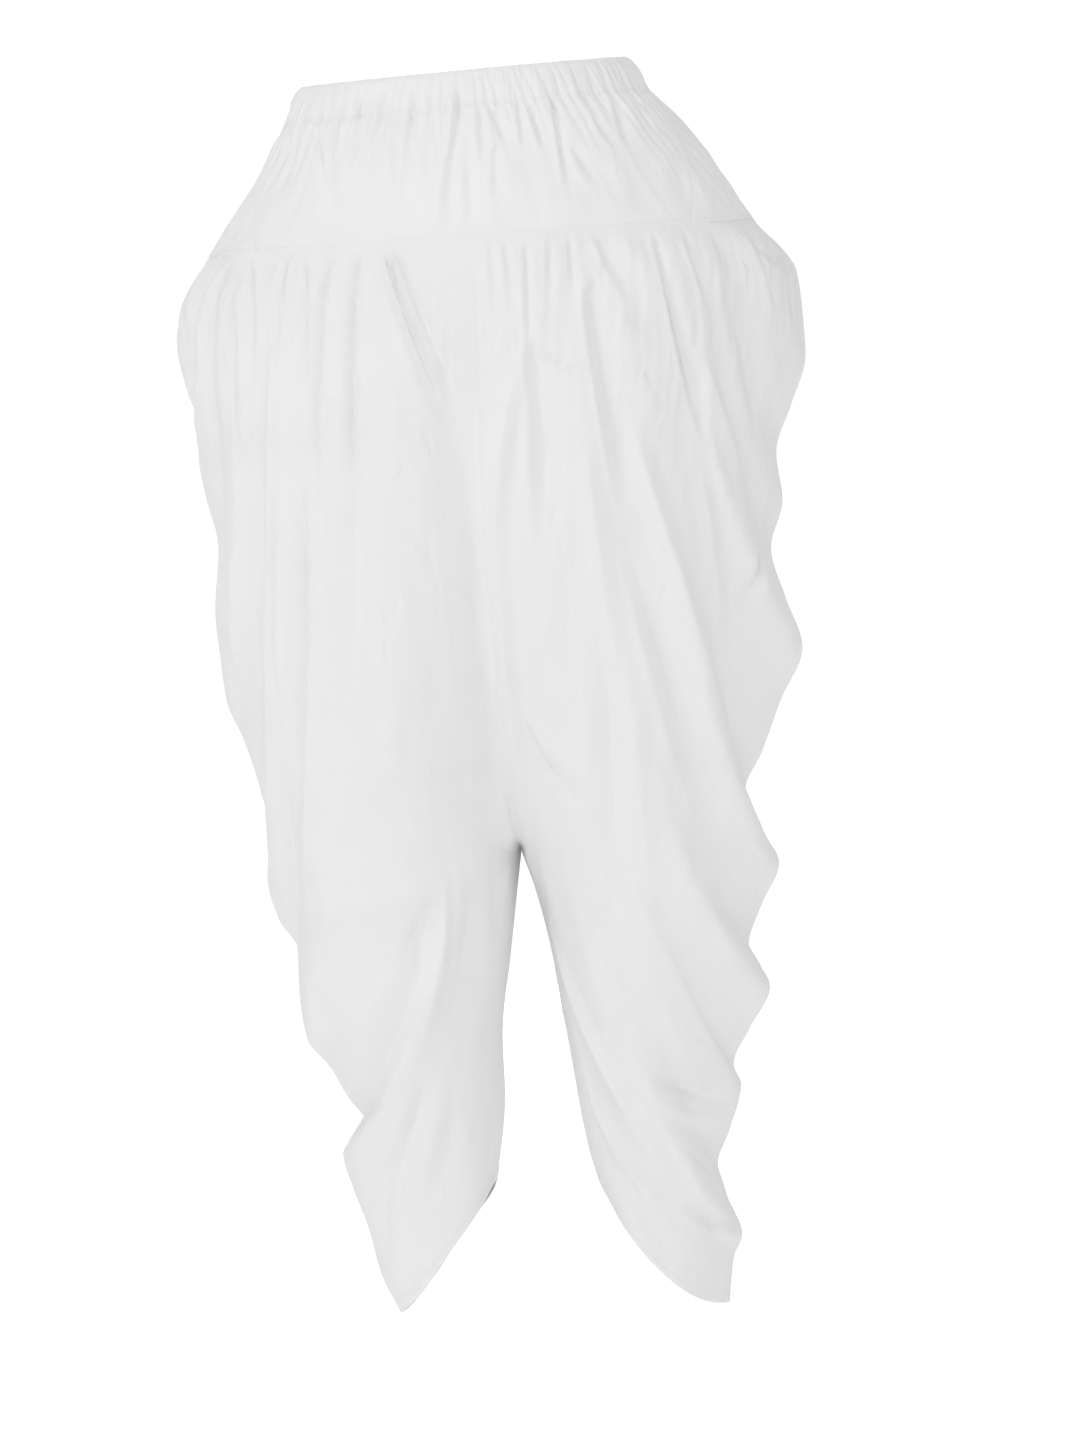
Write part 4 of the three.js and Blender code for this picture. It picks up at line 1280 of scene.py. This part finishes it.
def stitch_nodes() -> bpy.types.NodeTree:
    """A geometry group that sews a row of lockstitches along a line.

    Returns:
        The group. Its inputs are the line, the stitches' spacing, length and thread radius, the seed of
        their unevenness, and their finish.
    """
    tree = bpy.data.node_groups.new("Row of stitches", "GeometryNodeTree")
    wanted = {
        "Line": "NodeSocketGeometry",
        "Spacing": "NodeSocketFloat",
        "Length": "NodeSocketFloat",
        "Thread": "NodeSocketFloat",
        "Seed": "NodeSocketInt",
        "Finish": "NodeSocketMaterial",
    }
    for name, kind in wanted.items():
        tree.interface.new_socket(name, in_out="INPUT", socket_type=kind)
    tree.interface.new_socket("Stitches", in_out="OUTPUT", socket_type="NodeSocketGeometry")
    g = Graph(tree)
    given, out = g.node("NodeGroupInput").outputs, g.node("NodeGroupOutput")
    curve = g.give(g.node("GeometryNodeMeshToCurve"), {"Mesh": given["Line"]})
    spots = g.node("GeometryNodeCurveToPoints", mode="LENGTH")
    g.give(spots, {"Curve": curve.outputs["Curve"], "Length": given["Spacing"]})
    half = g.maths("MULTIPLY", given["Length"], 0.5)
    size = g.give(g.node("ShaderNodeCombineXYZ"), {"X": given["Thread"], "Y": given["Thread"], "Z": half})
    bead = g.give(g.node("GeometryNodeMeshUVSphere"), {"Segments": 6, "Rings": 5, "Radius": 1.0})
    stitch = g.node("GeometryNodeTransform")
    g.give(stitch, {"Geometry": bead.outputs["Mesh"], "Scale": size.outputs["Vector"]})
    uneven = g.node("FunctionNodeRandomValue", data_type="FLOAT")
    limits = [socket for socket in uneven.inputs if socket.name in ("Min", "Max") and socket.type == "VALUE"]
    for socket, limit in zip(limits, (0.86, 1.08)):
        g.feed(socket, limit)
    g.feed(uneven.inputs["Seed"], given["Seed"])
    drawn = next(socket for socket in uneven.outputs if socket.type == "VALUE")
    sewn = g.node("GeometryNodeInstanceOnPoints")
    g.give(sewn, {"Points": spots.outputs["Points"], "Instance": stitch.outputs["Geometry"]})
    g.give(sewn, {"Rotation": spots.outputs["Rotation"], "Scale": drawn})
    real = g.give(g.node("GeometryNodeRealizeInstances"), {"Geometry": sewn.outputs["Instances"]})
    finish = g.node("GeometryNodeSetMaterial")
    g.give(finish, {"Geometry": real.outputs["Geometry"], "Material": given["Finish"]})
    g.feed(out.inputs["Stitches"], finish.outputs["Geometry"])
    return tree


@dataclass
class Stitching:
    """A row of lockstitches along a line that lies proud of the cloth, in mm."""

    name: str
    cloth: Cloth
    row: float
    seed: int
    proud: float = 0.1
    spacing: float = 2.7
    length: float = 2.2
    thread: float = 0.17

    def build(self, nodes: bpy.types.NodeTree, finish: bpy.types.Material) -> bpy.types.Object:
        """Sews the row.

        Args:
            nodes: the group that makes a row of stitches.
            finish: the thread's material.

        Returns:
            The stitches as a plain mesh.
        """
        mesh = bpy.data.meshes.new(self.name + "_line")
        line = self.cloth.line(self.row, self.proud)
        edges = [(k, k + 1) for k in range(len(line) - 1)]
        mesh.from_pydata((line * MM).tolist(), edges, [])
        row = put(self.name, mesh)
        maker = row.modifiers.new("stitches", "NODES")
        maker.node_group = nodes
        wanted = {
            "Spacing": self.spacing * MM,
            "Length": self.length * MM,
            "Thread": self.thread * MM,
            "Seed": self.seed,
            "Finish": finish,
        }
        for item in nodes.interface.items_tree:
            if item.in_out == "INPUT" and item.name in wanted:
                maker[item.identifier] = wanted[item.name]
        made = bpy.data.meshes.new_from_object(row.evaluated_get(bpy.context.evaluated_depsgraph_get()))
        row.modifiers.clear()
        row.data = made
        row.data.shade_smooth()
        bpy.data.meshes.remove(mesh)
        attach(row, "root")
        log.info("%s: %d faces", row.name, len(made.polygons))
        return row


# Camera, light and floor


WHITE = (1.0, 1.0, 1.0, 1.0)

# Columns: name, place and size in metres, watts.
LAMPS = (
    ("key", (3.2, 2.6, 1.8), 1.5, 33.0),
    ("fill", (-3.2, 3.6, 0.6), 3.0, 20.0),
    ("top", (0.3, 2.2, 3.2), 2.0, 34.0),
    ("backdrop", (0.0, -3.4, -0.2), 4.0, 60.0),
)


@dataclass
class Studio:
    """A plain white studio and a long lens at hip height, behind the garment, in metres.

    surround is the light of the world, and backdrop its brightness as the camera sees it. floor_glow and
    floor_seen are the floor's own light, and how much more of it the camera sees.
    """

    frame_height: float = 1.148
    frame_centre: tuple[float, float] = (-0.0608, -0.5024)
    distance: float = 6.0
    camera_height: float = -0.10
    floor_height: float = -1.07
    surround: float = 0.545
    backdrop: float = 1.05
    floor_half: float = 30.0
    floor_colour: Colour = (0.8, 0.8, 0.8)
    floor_glow: float = 0.34
    floor_seen: float = 0.36
    sensor: float = 36.0

    def camera(self) -> None:
        """Makes the camera."""
        data = bpy.data.cameras.new("camera")
        place = Vector((self.frame_centre[0], self.distance, self.camera_height))
        aim = Vector((self.frame_centre[0], 0.0, self.frame_centre[1]))
        data.sensor_width = self.sensor
        data.lens = self.sensor * (aim - place).length / self.frame_height
        camera = put("camera", data)
        camera.location = place
        camera.rotation_euler = (aim - place).to_track_quat("-Z", "Y").to_euler()
        bpy.context.scene.camera = camera

    def lamp(self, name: str, place: tuple[float, float, float], size: float, watts: float) -> None:
        """Makes a soft square lamp that faces the garment's middle."""
        data = bpy.data.lights.new(name, "AREA")
        data.size = size
        data.energy = watts
        lamp = put(name, data)
        lamp.location = place
        aim = Vector((0.0, 0.0, self.frame_centre[1])) - lamp.location
        lamp.rotation_euler = aim.to_track_quat("-Z", "Y").to_euler()

    def floor(self) -> None:
        """Makes the pale floor."""
        half = self.floor_half
        corners = [(-half, -half), (half, -half), (half, half), (-half, half)]
        mesh = bpy.data.meshes.new("floor")
        mesh.from_pydata([(x, y, self.floor_height) for x, y in corners], [], [(0, 1, 2, 3)])
        material, g, surface = new_material("pale floor")
        seen = g.node("ShaderNodeLightPath").outputs["Is Camera Ray"]
        values = {
            "Base Color": (*self.floor_colour, 1.0),
            "Roughness": 0.9,
            "Specular IOR Level": 0.1,
            "Emission Color": WHITE,
            "Emission Strength": g.maths("MULTIPLY_ADD", seen, self.floor_seen, self.floor_glow),
        }
        g.give(surface, values)
        mesh.materials.append(material)
        floor = put("floor", mesh)

    def world(self) -> None:
        """Makes the white surround: full white behind the garment, softer as a light."""
        world = bpy.data.worlds.new("studio")
        world.use_nodes = True
        bpy.context.scene.world = world
        g = Graph(world.node_tree)
        seen = g.node("ShaderNodeLightPath").outputs["Is Camera Ray"]
        strength = g.maths("MULTIPLY_ADD", seen, self.backdrop - self.surround, self.surround)
        g.give(world.node_tree.nodes["Background"], {"Color": WHITE, "Strength": strength})

    def build(self) -> None:
        """Makes the whole studio."""
        self.camera()
        self.floor()
        self.world()
        for lamp in LAMPS:
            self.lamp(*lamp)
        bpy.context.scene.view_settings.view_transform = "Standard"


def dress(cloth: Cloth, node: str, finish: bpy.types.Material) -> bpy.types.Object:
    """Makes a piece of cloth and puts it in place of its solid on the root body."""
    piece = cloth.build(finish)
    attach(piece, "root")
    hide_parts(node)
    log.info("%s: %d faces", piece.name, len(piece.data.polygons))
    return piece


def main() -> None:
    """Dresses the frame piece by piece."""
    logging.basicConfig(level=logging.INFO, format="%(name)s: %(message)s")
    Studio().build()
    cotton = Cotton().build(plain_weave(), crush())
    thread = Thread().build()
    nodes = stitch_nodes()

    back = YokePanel("yoke_back_cloth", RIGHT_SEAM, LEFT_SEAM, Face.BACK, 301, 91, 21, 430)
    front = YokePanel("yoke_front_cloth", LEFT_SEAM, RIGHT_SEAM, Face.FRONT, 481, 73, 27, 700)
    panels = {"yoke_back": (back, back.cloth()), "yoke_front": (front, front.cloth())}
    casing = Casing()
    cloth = casing.cloth(tuple(panel.upper_edge(cloth) for panel, cloth in panels.values()))
    band = dress(cloth, "waistband", cotton)
    row = casing.rows - casing.stitch_row
    sewn = Stitching("casing_stitches", cloth, row, seed=5).build(nodes, thread)

    for node, (panel, cloth) in panels.items():
        piece = dress(cloth, node, cotton)
        row = (panel.rows - 1) * (1 - panel.stitches_up / panel.height)
        sewn = Stitching(f"{node}_stitches", cloth, row, seed=7).build(nodes, thread)

    for leg in (LEFT_LEG, RIGHT_LEG):
        cloth = leg.cloth()
        piece = dress(cloth, leg.name, cotton)
        row = leg.rows - 1 - (leg.rows - 1) / leg.last * HEM.stitches / HEM.row
        sewn = Stitching(f"{leg.name}_stitches", cloth, row, leg.seed).build(nodes, thread)


if __name__ == "__main__":
    main()
